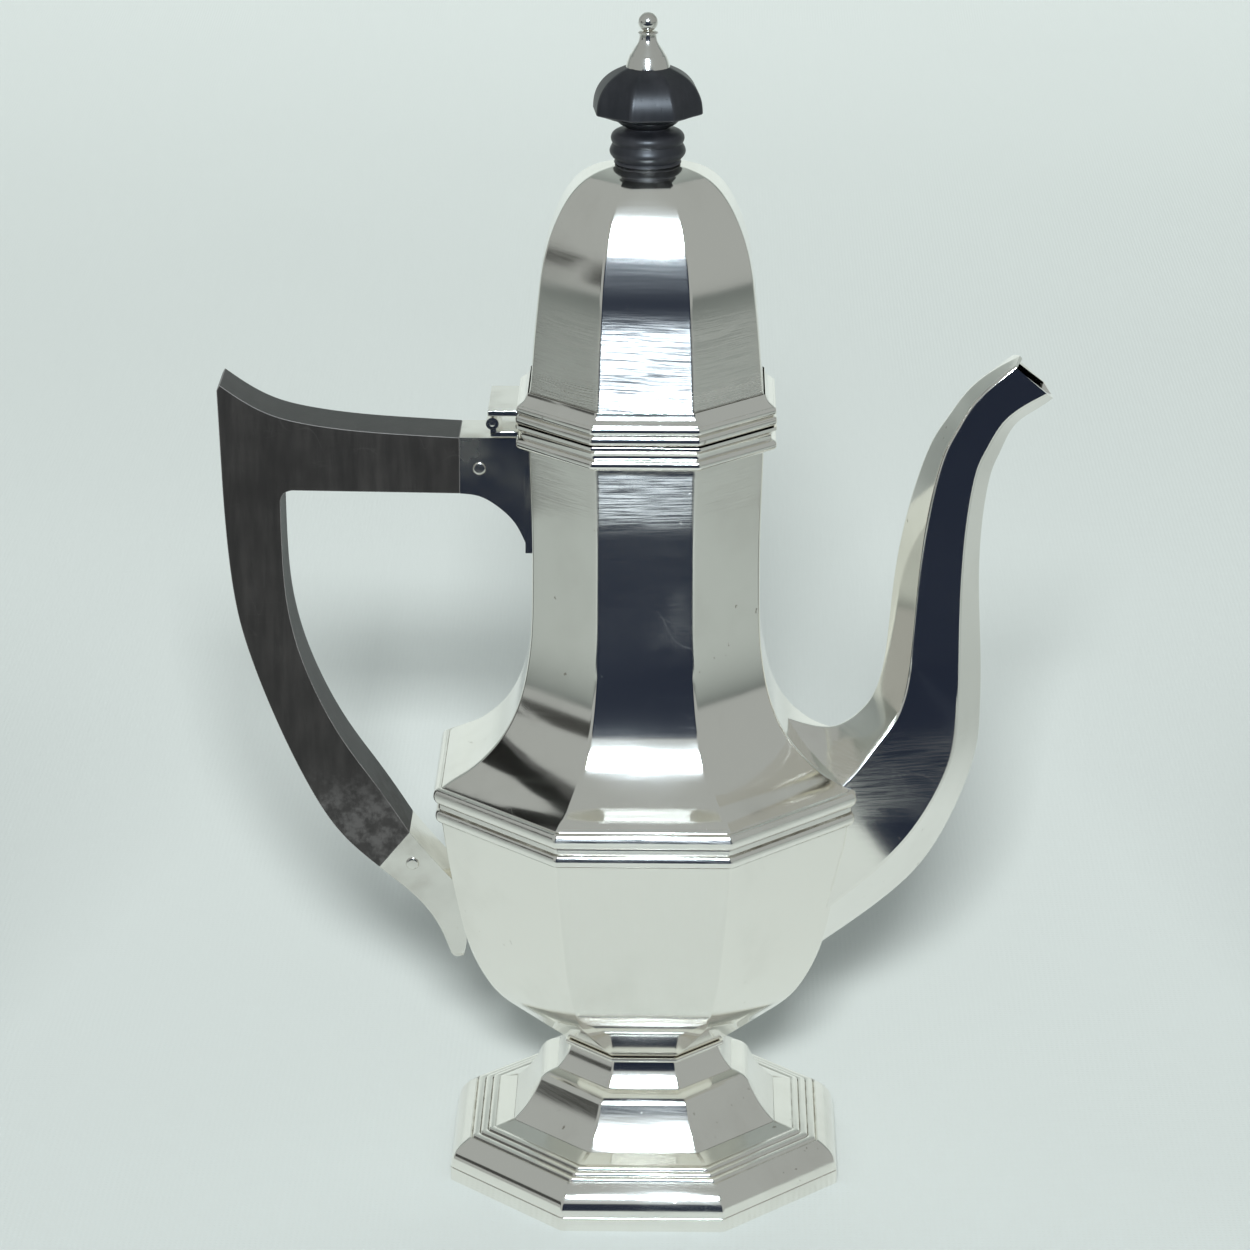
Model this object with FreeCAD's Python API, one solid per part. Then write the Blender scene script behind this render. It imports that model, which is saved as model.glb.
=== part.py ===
import FreeCAD, Part
import math
import os

# Octagonal silver coffee pot. Millimetres, +Z up, origin at the centre of the foot's underside.
# The spout points along +X, the handle and the lid's hinge are on the -X facet.
# Outlines are (apothem, height) pairs: half the width across flats, and the level above the table.

# Driving dimensions
FOOT_APOTHEM = 42.0
FOOT_TOP = 12.0
STEM_TOP = 28.0
WAIST_TOP = 29.0
GIRDLE_APOTHEM = 43.0
GIRDLE_BOTTOM = 83.8
BODY_JOINT = 88.0
GIRDLE_TOP = 91.4
NECK_APOTHEM = 24.4
MOUTH_TOP = 169.5
LID_GAP = 0.2
LID_BOTTOM = MOUTH_TOP + LID_GAP
DOME_BASE = 176.2
DOME_TOP = 222.6
KNOB_TOP = 242.8
FINIAL_TOP = 254.0
FINIAL_BALL = 2.0

WALL = 1.0
LID_WALL = 0.9
FOOT_WALL = 1.0
MOULDING_LIP = 27.1
BEZEL_APOTHEM = 22.7
BEZEL_WALL = 1.0
BEZEL_DROP = 4.6
BEZEL_RISE = 3.0
DOME_APOTHEM = 24.15

HANDLE_WIDTH = 13.0
HANDLE_TENON = 9.0
TENON_WALL = 1.1
LOWER_TENON_HALF = 4.0
RIVET_RADIUS = 1.4
RIVET_HEAD = 0.35

HINGE_X = -32.0
HINGE_Z = 169.2
HINGE_LENGTH = 19.0
KNUCKLE_RADIUS = 1.35
KNUCKLE_GAP = 0.15
LEAF_GAP = 0.3
LID_KNUCKLE = 7.6
PIN_RADIUS = 0.6
PIN_CLEARANCE = 0.05
LEAF_THICKNESS = 1.2

SPOUT_WALL = 0.9
STRAINER_HOLE = 1.3
STRAINER_PITCH = 4.4
STRAINER_HEIGHT = 72.0

BOLT_RADIUS = 1.5
BOLT_ENGAGED = 3.0
WASHER_RADIUS = 5.0
WASHER_THICKNESS = 0.8
NUT_REACH = 3.2
NUT_THICKNESS = 2.6
SEAT_UNDERSIDE = DOME_TOP - LID_WALL
KNOB_TURN = 6.0

SIDES = 8
CORNER_RATIO = math.cos(math.pi / SIDES)
Z_AXIS = FreeCAD.Vector(0, 0, 1)
Y_AXIS = FreeCAD.Vector(0, 1, 0)
BIG = 400.0


# Shapes that every sub-part uses

def edge_through(points):
    """A straight edge through two points, or a smooth curve through more."""
    if len(points) == 2:
        return Part.LineSegment(points[0], points[1]).toShape()
    curve = Part.BSplineCurve()
    curve.interpolate(points)
    return curve.toShape()


def corner_wire(runs, turn):
    """The closed outline, drawn in the upright plane through one corner of the octagon."""
    angle = math.radians(turn)
    edges = []
    for run in runs:
        points = []
        for apothem, height in run:
            reach = apothem / CORNER_RATIO
            points.append(FreeCAD.Vector(reach * math.cos(angle), reach * math.sin(angle), height))
        edges.append(edge_through(points))
    return Part.Wire(edges)


def octagon_ring(runs, turn=0.0):
    """Eight flat-sided sectors of one closed outline, mitred at the corners."""
    step = 360.0 / SIDES
    wires = [corner_wire(runs, turn + step * (index + 0.5)) for index in range(SIDES)]
    return Part.makeLoft(wires + [wires[0]], True, True)


def octagon_prism(apothem, bottom, top):
    """A solid octagonal block."""
    reach = apothem / CORNER_RATIO
    corners = []
    for index in range(SIDES + 1):
        angle = math.radians(360.0 / SIDES * (index + 0.5))
        corners.append(FreeCAD.Vector(reach * math.cos(angle), reach * math.sin(angle), bottom))
    return Part.Face(Part.makePolygon(corners)).extrude(Z_AXIS * (top - bottom))


def chained(runs):
    """The points of the runs in order, each joint once."""
    chain = [point for run in runs for point in run[:-1]]
    chain.append(runs[-1][-1])
    return chain


def inset(runs, wall):
    """The runs moved towards the axis by the wall, mitred at corners and level at both ends."""
    chain = chained(runs)
    normals = []
    for start, end in zip(chain, chain[1:]):
        length = math.dist(start, end)
        normals.append(((start[1] - end[1]) / length, (end[0] - start[0]) / length))
    moved = []
    for index, (apothem, height) in enumerate(chain):
        before = normals[max(index - 1, 0)]
        after = normals[min(index, len(normals) - 1)]
        stretch = wall / (1.0 + before[0] * after[0] + before[1] * after[1])
        moved.append((apothem + (before[0] + after[0]) * stretch, height + (before[1] + after[1]) * stretch))
    moved[0] = (moved[0][0], chain[0][1])
    moved[-1] = (moved[-1][0], chain[-1][1])
    inner = []
    first = 0
    for run in runs:
        inner.append(moved[first:first + len(run)])
        first += len(run) - 1
    return inner


def closed_wall(runs, wall):
    """A closed outline: the outer runs, and the same runs one wall further in."""
    inner = inset(runs, wall)
    back = [run[::-1] for run in reversed(inner)]
    return runs + [[runs[-1][-1], back[0][0]]] + back + [[back[-1][-1], runs[0][0]]]


def closed_against(runs, apothem):
    """A closed outline between the runs and a straight upright face at the given apothem."""
    low = (apothem, runs[0][0][1])
    high = (apothem, runs[-1][-1][1])
    return runs + [[runs[-1][-1], high], [high, low], [low, runs[0][0]]]


def filled(runs, core=4.0):
    """The solid inside the outline, closed flat at both ends."""
    low = runs[0][0][1]
    high = runs[-1][-1][1]
    return octagon_ring(closed_against(runs, core)).fuse(octagon_prism(core, low, high)).removeSplitter()


def half_round(apothem, low, high, bulge):
    """A bead that swells out by bulge between two levels of an upright face."""
    points = []
    steps = 6
    for index in range(steps + 1):
        angle = math.pi * index / steps
        middle = (low + high) / 2
        points.append((apothem + bulge * math.sin(angle), middle - (high - low) / 2 * math.cos(angle)))
    return points


def turned(outline):
    """A solid turned about the pot's axis from a closed outline of (radius, height) runs."""
    edges = []
    for run in outline:
        edges.append(edge_through([FreeCAD.Vector(radius, 0, height) for radius, height in run]))
    return Part.Face(Part.Wire(edges)).revolve(FreeCAD.Vector(0, 0, 0), Z_AXIS, 360)


def side_plate(runs, width):
    """A side outline of (x, z) runs, given width either side of the middle plane."""
    edges = []
    for run in runs:
        edges.append(edge_through([FreeCAD.Vector(x, -width / 2, z) for x, z in run]))
    return Part.Face(Part.Wire(edges)).extrude(Y_AXIS * width)


def front_plate(runs):
    """A front outline of (y, z) runs, extruded right through the pot along X."""
    edges = []
    for run in runs:
        edges.append(edge_through([FreeCAD.Vector(-BIG, y, z) for y, z in run]))
    return Part.Face(Part.Wire(edges)).extrude(FreeCAD.Vector(2 * BIG, 0, 0))


def cylinder_y(x, z, radius, start, end):
    """A round bar along Y."""
    return Part.makeCylinder(radius, end - start, FreeCAD.Vector(x, start, z), Y_AXIS)


def block(low, high):
    """A rectangular block between two corners."""
    size = [top - bottom for bottom, top in zip(low, high)]
    return Part.makeBox(size[0], size[1], size[2], FreeCAD.Vector(*low))


# Foot

RIM_HEIGHT = 3.1
RIM_DEPTH = 2.2
REED_RISE = 0.55
OVOLO = [(FOOT_APOTHEM - 0.1, RIM_HEIGHT), (41.5, 5.2), (40.4, 7.2), (38.9, 8.6), (37.3, 9.4)]
STEM_FOOT = 28.3
REEDS = ((37.3, 35.6), (35.6, 33.9), (33.9, 32.2))


def make_foot_rim():
    """The upright border that the pot stands on."""
    outside = octagon_prism(FOOT_APOTHEM, 0.0, RIM_HEIGHT)
    return outside.cut(octagon_prism(FOOT_APOTHEM - RIM_DEPTH, 0.0, RIM_HEIGHT))


def foot_outline():
    """Ovolo, three stepped reeds and the shallow top, from the rim up to the stem."""
    runs = [list(OVOLO)]
    level = OVOLO[-1][1]
    for outer, inner in REEDS:
        rise = [(outer, level), (outer - 0.25, level + REED_RISE * 0.8)]
        tread = [rise[-1], (outer - 0.9, level + REED_RISE), (inner, level + REED_RISE * 0.9)]
        runs += [rise, tread]
        level = tread[-1][1]
    runs.append([runs[-1][-1], (STEM_FOOT, FOOT_TOP)])
    return runs


def make_foot():
    """The spread foot, with a plain underside one wall below its mouldings."""
    runs = foot_outline()
    under = [(STEM_FOOT, FOOT_TOP - FOOT_WALL), (36.2, 8.2), (38.6, 6.8), (40.0, 4.9),
             (FOOT_APOTHEM - 1.3, RIM_HEIGHT)]
    return octagon_ring(runs + [[runs[-1][-1], under[0]], under, [under[-1], runs[0][0]]])


def make_stem():
    """The hollow two-stage pedestal."""
    lower = [(STEM_FOOT, FOOT_TOP), (25.9, 14.6), (24.0, 17.6), (22.6, 20.6)]
    ledge = [(22.6, 20.6), (21.6, 21.6), (20.3, 22.2), (19.0, 22.6)]
    upper = [(19.0, 22.6), (17.5, 24.4), (16.5, 26.2), (15.9, STEM_TOP)]
    return octagon_ring(closed_wall([lower, ledge, upper], FOOT_WALL))


def make_waist_bead():
    """The thin solid ring between stem and bowl."""
    edge = [half_round(16.75, STEM_TOP, WAIST_TOP, 0.5)]
    return octagon_ring(closed_against(edge, 14.4))


# Body

def bowl_outline():
    """The belly from the waist up to the joint behind the girdle."""
    belly = [(16.3, WAIST_TOP), (21.3, 33.2), (26.9, 38.0), (31.3, 42.2), (34.4, 47.0),
             (37.2, 53.4), (39.4, 62.0), (41.3, 72.0), (GIRDLE_APOTHEM, GIRDLE_BOTTOM)]
    return [belly, [belly[-1], (GIRDLE_APOTHEM, BODY_JOINT)]]


def upper_outline():
    """Shoulder and neck from the girdle joint up to the mouth."""
    shoulder = [(GIRDLE_APOTHEM, GIRDLE_TOP), (41.0, 92.7), (37.4, 94.6), (34.3, 96.9), (30.8, 100.6),
                (28.2, 104.8), (26.5, 109.2), (25.2, 115.0), (24.3, 122.0), (23.95, 131.0),
                (23.9, 144.0), (24.2, 156.0), (NECK_APOTHEM, 162.5)]
    return [[(GIRDLE_APOTHEM, BODY_JOINT), shoulder[0]], shoulder, [shoulder[-1], (NECK_APOTHEM, MOUTH_TOP)]]


def strainer_holes():
    """Round bars for the rows of holes that let coffee into the spout."""
    bars = []
    for row, count in enumerate((3, 4, 5, 4, 3)):
        height = STRAINER_HEIGHT + (row - 2) * STRAINER_PITCH * 0.87
        for column in range(count):
            y = (column - (count - 1) / 2) * STRAINER_PITCH
            start = FreeCAD.Vector(GIRDLE_APOTHEM - 8, y, height)
            bars.append(Part.makeCylinder(STRAINER_HOLE, 12, start, FreeCAD.Vector(1, 0, 0)))
    return Part.makeCompound(bars)


def make_bowl():
    """The hollow lower body with its floor and the pierced strainer."""
    runs = bowl_outline()
    floor = octagon_prism(runs[0][0][0] - 0.1, WAIST_TOP, WAIST_TOP + WALL)
    return octagon_ring(closed_wall(runs, WALL)).fuse(floor).removeSplitter().cut(strainer_holes())


def make_upper_body():
    """The hollow shoulder and neck."""
    return octagon_ring(closed_wall(upper_outline(), WALL))


def body_envelope():
    """Everything inside the body's outer faces, used to trim what is soldered on."""
    return filled(bowl_outline()).fuse(filled(upper_outline()))


def make_girdle():
    """Two beads with a flat between them, in front of the body's joint."""
    low = half_round(GIRDLE_APOTHEM + 0.4, GIRDLE_BOTTOM, 86.6, 0.9)
    high = half_round(GIRDLE_APOTHEM + 0.5, 88.0, GIRDLE_TOP, 1.2)
    flat = [[low[-1], (43.6, 86.8)], [(43.6, 86.8), (43.6, 87.8)], [(43.6, 87.8), high[0]]]
    start = [(GIRDLE_APOTHEM, GIRDLE_BOTTOM), low[0]]
    end = [high[-1], (GIRDLE_APOTHEM, GIRDLE_TOP)]
    return octagon_ring([start, low] + flat + [high, end, [end[-1], start[0]]])


def make_mouth_moulding():
    """A cove over a fillet and a bead, round the mouth."""
    bead = half_round(26.2, 164.4, 166.6, 0.9)
    cove = [(26.0, 167.4), (26.2, 168.1), (MOULDING_LIP, 168.8)]
    runs = [bead, [bead[-1], (26.0, 166.8)], [(26.0, 166.8), cove[0]], cove,
            [cove[-1], (MOULDING_LIP, MOUTH_TOP)]]
    return octagon_ring(closed_against(runs, NECK_APOTHEM))


# Spout

# Each station: inner ridge, upper side ridge, lower side ridge, outer ridge as (x, z), and the half width.
SPOUT_STATIONS = [
    ((77.7, 182.0), (76.4, 180.8), (83.4, 174.8), (85.0, 172.7), 4.6),
    ((72.0, 178.7), (72.9, 177.9), (79.0, 172.5), (81.4, 170.1), 5.3),
    ((66.8, 174.2), (68.1, 173.2), (74.3, 168.7), (77.0, 166.6), 5.9),
    ((62.7, 168.3), (64.5, 167.2), (71.0, 163.1), (74.3, 161.0), 6.4),
    ((59.3, 162.4), (61.8, 161.3), (68.9, 158.0), (72.5, 156.3), 6.8),
    ((55.4, 150.2), (59.1, 149.3), (67.2, 147.4), (71.0, 146.4), 7.4),
    ((52.4, 134.4), (57.3, 133.8), (66.3, 132.7), (70.6, 132.1), 8.1),
    ((50.9, 117.8), (56.0, 117.2), (66.2, 116.1), (71.4, 115.5), 8.9),
    ((49.1, 108.6), (54.0, 107.4), (65.9, 104.1), (71.5, 102.4), 10.5),
    ((46.8, 104.3), (50.5, 102.3), (64.0, 94.2), (69.9, 90.4), 12.6),
    ((43.2, 100.9), (46.3, 97.2), (57.2, 81.8), (62.7, 72.9), 15.2),
    ((37.8, 99.4), (40.6, 91.4), (46.9, 71.2), (51.8, 59.9), 17.2),
    ((28.6, 102.0), (30.5, 86.0), (30.8, 58.5), (31.8, 44.6), 18.6),
]


def station_corners(inner, upper, lower, outer, half_width, wall):
    """The six corners of one section, moved inwards by the wall."""
    flat = [(inner, 0.0), (upper, half_width), (lower, half_width),
            (outer, 0.0), (lower, -half_width), (upper, -half_width)]
    along = FreeCAD.Vector(outer[0] - inner[0], 0, outer[1] - inner[1]).normalize()
    origin = FreeCAD.Vector(inner[0], 0, inner[1])
    plane = []
    for (x, z), y in flat:
        offset = FreeCAD.Vector(x, 0, z) - origin
        plane.append((offset.dot(along), y))
    count = len(plane)
    lines = []
    for index in range(count):
        (u0, v0), (u1, v1) = plane[index], plane[(index + 1) % count]
        length = math.hypot(u1 - u0, v1 - v0)
        normal = ((v1 - v0) / length, -(u1 - u0) / length)
        lines.append((normal, normal[0] * u0 + normal[1] * v0 + wall))
    corners = []
    for index in range(count):
        (na, ca), (nb, cb) = lines[index - 1], lines[index]
        det = na[0] * nb[1] - na[1] * nb[0]
        u = (ca * nb[1] - cb * na[1]) / det
        v = (na[0] * cb - nb[0] * ca) / det
        corners.append(origin + along * u + Y_AXIS * v)
    return corners


def spout_solid(wall):
    """The swan-neck through every station, smaller by the wall all round."""
    sections = []
    for station in SPOUT_STATIONS:
        corners = station_corners(*station, wall)
        sections.append(Part.makePolygon(corners + [corners[0]]))
    return Part.makeLoft(sections, True, False)


def make_spout_halves(envelope):
    """The hollow spout, trimmed to the body and split along its two ridges."""
    outer = spout_solid(0.0)
    shell = outer.cut(spout_solid(SPOUT_WALL)).cut(envelope)
    front = shell.common(block((0, -BIG, 0), (BIG, 0, BIG)))
    rear = shell.common(block((0, 0, 0), (BIG, BIG, BIG)))
    return outer, front, rear


# Handle and its sockets

ARM_END = (-39.0, 153.1, 165.3)
LOWER_END_OUTER = (-57.2, 68.8)
LOWER_END_INNER = (-50.6, 76.8)


def lower_end_frame():
    """Middle of the handle's lower end face, the way along that face, and the way out of it."""
    outer = FreeCAD.Vector(LOWER_END_OUTER[0], 0, LOWER_END_OUTER[1])
    inner = FreeCAD.Vector(LOWER_END_INNER[0], 0, LOWER_END_INNER[1])
    across = inner - outer
    middle = (outer + inner) * 0.5
    across.normalize()
    return middle, across, FreeCAD.Vector(across.z, 0, -across.x)


def lower_tenon(length, half_height, half_width):
    """A block on the handle's lower end, along the way out of its end face."""
    middle, across, out = lower_end_frame()
    corners = []
    for along, side in ((0, -1), (length, -1), (length, 1), (0, 1), (0, -1)):
        corners.append(middle + out * along + across * (side * half_height) - Y_AXIS * half_width)
    return Part.Face(Part.makePolygon(corners)).extrude(Y_AXIS * (2 * half_width))


def upper_tenon(length, half_width):
    """A block on the handle's upper end."""
    x, low, high = ARM_END
    return block((x, -half_width, low + TENON_WALL), (x + length, half_width, high - TENON_WALL))


UPPER_RIVET = (-34.9, 158.6)


def lower_rivet_place():
    """The lower rivet sits halfway along the tenon."""
    middle, _, out = lower_end_frame()
    place = middle + out * (HANDLE_TENON * 0.55)
    return place.x, place.z


def rivet(place, grow=0.0):
    """A round pin through the handle's full width, with low heads when grow is given."""
    half = HANDLE_WIDTH / 2 + grow
    return cylinder_y(place[0], place[1], RIVET_RADIUS, -half, half)


def make_handle():
    """The wooden handle with a tenon at each end, drilled for its rivets."""
    x, low, high = ARM_END
    top = [(x, high), (-50.0, 165.9), (-61.8, 166.8), (-71.5, 168.2), (-78.0, 169.9), (-83.6, 172.7),
           (-88.9, 176.4)]
    back = [(-89.5, 175.2), (-89.2, 166.0), (-88.7, 152.0), (-87.8, 138.0), (-85.9, 124.6), (-82.6, 113.0),
            (-77.9, 100.4), (-71.9, 87.2), (-64.8, 76.0), LOWER_END_OUTER]
    inside = [LOWER_END_INNER, (-57.0, 86.8), (-64.1, 97.2), (-69.4, 107.2), (-73.6, 118.4), (-75.8, 129.0),
              (-76.5, 139.0), (-76.7, 151.2)]
    corner = [inside[-1], (-76.0, 152.8), (-74.3, 153.5)]
    outline = [top, [top[-1], back[0]], back, [back[-1], inside[0]], inside, corner,
               [corner[-1], (x, low)], [(x, low), top[0]]]
    half = HANDLE_WIDTH / 2 - TENON_WALL
    lower = lower_tenon(HANDLE_TENON, LOWER_TENON_HALF, half)
    wood = side_plate(outline, HANDLE_WIDTH).fuse(upper_tenon(HANDLE_TENON, half)).fuse(lower)
    return wood.cut(rivet(UPPER_RIVET)).cut(rivet(lower_rivet_place()))


PLATE_FACE = -25.3
PLATE_HALF_WIDTH = 8.2


def make_upper_socket(moulding, plate):
    """The sleeve for the handle's upper end, swept down to the neck."""
    x, low, high = ARM_END
    under = [(x, low), (-35.2, 152.6), (-31.0, 150.2), (-27.7, 146.9), (PLATE_FACE, 142.2)]
    outline = [under, [under[-1], (PLATE_FACE, high)], [(PLATE_FACE, high), (x, high)], [(x, high), under[0]]]
    sleeve = side_plate(outline, HANDLE_WIDTH).cut(upper_tenon(HANDLE_TENON, HANDLE_WIDTH / 2 - TENON_WALL))
    return sleeve.cut(moulding).cut(plate).cut(rivet(UPPER_RIVET))


def make_upper_socket_plate(envelope):
    """The thin plate between the upper socket and the neck."""
    plate = block((PLATE_FACE, -PLATE_HALF_WIDTH, 140.6), (-NECK_APOTHEM + 1.0, PLATE_HALF_WIDTH, 164.3))
    return plate.cut(envelope)


def make_lower_socket(envelope):
    """The sleeve for the handle's lower end, with a tail that tapers past the bowl."""
    heel = [LOWER_END_OUTER, (-53.4, 65.6), (-49.5, 61.9), (-46.5, 58.0), (-43.8, 52.4), (-42.0, 47.2)]
    tip = [heel[-1], (-41.0, 46.0), (-39.5, 46.6)]
    inner = [tip[-1], (-38.7, 51.0), (-38.9, 55.0), (-36.0, 60.0)]
    top = [(-36.0, 60.4), (-42.6, 67.2), LOWER_END_INNER]
    side = side_plate([heel, tip, inner, [inner[-1], top[0]], top, [top[-1], heel[0]]], HANDLE_WIDTH)
    half = HANDLE_WIDTH / 2
    left = [(-half, 90.0), (-half, 66.0)]
    taper_left = [left[-1], (-5.4, 58.0), (-3.4, 50.0), (-2.4, 46.6)]
    taper_right = [(-y, z) for y, z in reversed(taper_left)]
    round_tip = [taper_left[-1], (0.0, 45.6), taper_right[0]]
    front = front_plate([left, taper_left, round_tip, taper_right, [taper_right[-1], (half, 90.0)],
                         [(half, 90.0), left[0]]])
    hollow = lower_tenon(HANDLE_TENON, LOWER_TENON_HALF, half - TENON_WALL)
    return side.common(front).cut(hollow).cut(envelope).cut(rivet(lower_rivet_place()))


# Lid

def dome_outline():
    """The bell-shaped lid from the joint up to the flat seat of the knob."""
    bell = [(DOME_APOTHEM, DOME_BASE), (23.75, 181.0), (23.3, 187.0), (22.6, 194.4), (21.6, 202.3), (20.5, 207.2),
            (18.9, 211.7), (16.7, 216.0), (13.4, 219.8), (9.6, 221.8), (6.6, DOME_TOP)]
    return [[(DOME_APOTHEM, LID_BOTTOM), bell[0]], bell]


def make_lid_dome():
    """The hollow dome with a drilled seat for the knob."""
    runs = dome_outline()
    seat = octagon_prism(runs[-1][-1][0], DOME_TOP - LID_WALL, DOME_TOP)
    hole = Part.makeCylinder(BOLT_RADIUS, BIG, FreeCAD.Vector(0, 0, LID_BOTTOM))
    return octagon_ring(closed_wall(runs, LID_WALL)).fuse(seat).removeSplitter().cut(hole)


def make_lid_moulding():
    """Two beads under a cove, round the lid's edge."""
    low = half_round(26.5, LID_BOTTOM, 171.7, 0.6)
    high = half_round(26.4, 171.9, 173.7, 0.55)
    cove = [(26.3, 173.9), (25.4, 174.6), (24.9, 175.5), (24.7, DOME_BASE)]
    runs = [low, [low[-1], (26.3, 171.8)], [(26.3, 171.8), high[0]], high, [high[-1], cove[0]], cove]
    return octagon_ring(closed_against(runs, DOME_APOTHEM))


def make_lid_bezel():
    """The flange that drops into the mouth, soldered inside the dome's edge."""
    inner = BEZEL_APOTHEM - BEZEL_WALL
    seat = DOME_APOTHEM - LID_WALL
    low = LID_BOTTOM - BEZEL_DROP
    high = LID_BOTTOM + BEZEL_RISE
    corners = [(BEZEL_APOTHEM, low), (BEZEL_APOTHEM, LID_BOTTOM), (seat, LID_BOTTOM), (seat, high),
               (inner, high), (inner, low)]
    runs = [[start, end] for start, end in zip(corners, corners[1:] + corners[:1])]
    return octagon_ring(runs)


# Hinge

def hinge_bore(radius):
    """The pin's hole right through the hinge."""
    return cylinder_y(HINGE_X, HINGE_Z, radius, -BIG, BIG)


def make_body_leaf(moulding):
    """The lower leaf with a knuckle at each end of the hinge."""
    half = HINGE_LENGTH / 2
    top = HINGE_Z - KNUCKLE_RADIUS - LEAF_GAP
    leaf = block((HINGE_X - 0.4, -half, top - LEAF_THICKNESS), (-NECK_APOTHEM - 0.5, half, top))
    for start, end in ((-half, -LID_KNUCKLE / 2 - KNUCKLE_GAP), (LID_KNUCKLE / 2 + KNUCKLE_GAP, half)):
        web = block((HINGE_X - 0.4, start, top - 0.5), (HINGE_X + 0.8, end, HINGE_Z - 0.8))
        leaf = leaf.fuse(cylinder_y(HINGE_X, HINGE_Z, KNUCKLE_RADIUS, start, end)).fuse(web)
    return leaf.cut(hinge_bore(PIN_RADIUS)).cut(moulding)


def make_lid_leaf(moulding):
    """The upper leaf with the middle knuckle."""
    half = HINGE_LENGTH / 2
    low = HINGE_Z + KNUCKLE_RADIUS + LEAF_GAP
    leaf = block((HINGE_X - 0.9, -half, low), (-NECK_APOTHEM - 0.5, half, low + LEAF_THICKNESS))
    web = block((HINGE_X - 0.6, -LID_KNUCKLE / 2, HINGE_Z + 0.8), (HINGE_X + 0.9, LID_KNUCKLE / 2, low + 0.5))
    barrel = cylinder_y(HINGE_X, HINGE_Z, KNUCKLE_RADIUS, -LID_KNUCKLE / 2, LID_KNUCKLE / 2)
    return leaf.fuse(barrel).fuse(web).cut(hinge_bore(PIN_RADIUS + PIN_CLEARANCE)).cut(moulding)


# Knob

CAP_BOTTOM = 233.6
CAP_APOTHEM = 10.95


def make_knob():
    """The octagonal cap over its turned neck and rings, drilled for the bolt."""
    dome = [(CAP_APOTHEM, CAP_BOTTOM), (10.8, 235.6), (9.9, 238.3), (8.4, 240.3), (6.4, 241.8), (4.4, KNOB_TOP)]
    under = [(3.0, 231.6), (6.4, 231.9), (9.0, 232.9), (CAP_APOTHEM, CAP_BOTTOM)]
    cap = octagon_ring([dome, [dome[-1], (3.0, KNOB_TOP)], [(3.0, KNOB_TOP), under[0]], under],
                       turn=KNOB_TURN + 180.0 / SIDES)
    neck = [(6.9, 232.4), (5.6, 230.9), (4.5, 230.2), (5.6, 229.7)]
    upper_ring = [neck[-1], (7.2, 229.0), (7.6, 228.0), (7.2, 226.9)]
    lower_ring = [upper_ring[-1], (7.85, 225.2), (6.6, 223.4)]
    base = [lower_ring[-1], (6.95, 222.9), (6.4, DOME_TOP)]
    core = turned([neck, upper_ring, lower_ring, base, [base[-1], (0, DOME_TOP)],
                   [(0, DOME_TOP), (0, KNOB_TOP)], [(0, KNOB_TOP), (4.0, KNOB_TOP)],
                   [(4.0, KNOB_TOP), (4.0, 232.4)], [(4.0, 232.4), neck[0]]])
    hole = Part.makeCylinder(BOLT_RADIUS, BIG, FreeCAD.Vector(0, 0, LID_BOTTOM))
    return cap.fuse(core).removeSplitter().cut(hole)


def make_finial():
    """The turned silver finial, tapped for the bolt."""
    base = [(4.55, KNOB_TOP), (4.2, 244.0), (3.75, 245.2)]
    cone = [(3.55, 245.4), (2.6, 246.9), (1.85, 248.3), (1.7, 249.5)]
    collar = [cone[-1], (2.1, 249.8), (1.5, 250.2)]
    ball = [collar[-1]]
    centre = FINIAL_TOP - FINIAL_BALL
    steps = 6
    for index in range(1, steps + 1):
        angle = math.radians(-64.0 + index * 154.0 / steps)
        ball.append((FINIAL_BALL * math.cos(angle), centre + FINIAL_BALL * math.sin(angle)))
    ball[-1] = (0.0, FINIAL_TOP)
    solid = turned([base, [base[-1], cone[0]], cone, collar, ball, [ball[-1], (0.0, KNOB_TOP)],
                    [(0.0, KNOB_TOP), base[0]]])
    return solid.cut(Part.makeCylinder(BOLT_RADIUS, BOLT_ENGAGED, FreeCAD.Vector(0, 0, KNOB_TOP)))


def make_knob_bolt():
    """The threaded rod, from under the nut up into the finial."""
    bottom = SEAT_UNDERSIDE - WASHER_THICKNESS - NUT_THICKNESS - 1.0
    length = KNOB_TOP + BOLT_ENGAGED - bottom
    return Part.makeCylinder(BOLT_RADIUS, length, FreeCAD.Vector(0, 0, bottom))


def make_knob_washer():
    """The plain washer under the lid's seat."""
    place = FreeCAD.Vector(0, 0, SEAT_UNDERSIDE - WASHER_THICKNESS)
    return Part.makeCylinder(WASHER_RADIUS, WASHER_THICKNESS, place).cut(Part.makeCylinder(BOLT_RADIUS, 5, place))


def make_knob_nut():
    """The hexagon nut that clamps knob and lid together."""
    bottom = SEAT_UNDERSIDE - WASHER_THICKNESS - NUT_THICKNESS
    corners = []
    for index in range(7):
        angle = math.radians(60 * index)
        corners.append(FreeCAD.Vector(NUT_REACH * math.cos(angle), NUT_REACH * math.sin(angle), bottom))
    nut = Part.Face(Part.makePolygon(corners)).extrude(Z_AXIS * NUT_THICKNESS)
    return nut.cut(Part.makeCylinder(BOLT_RADIUS, 10, FreeCAD.Vector(0, 0, bottom - 1)))


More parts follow.
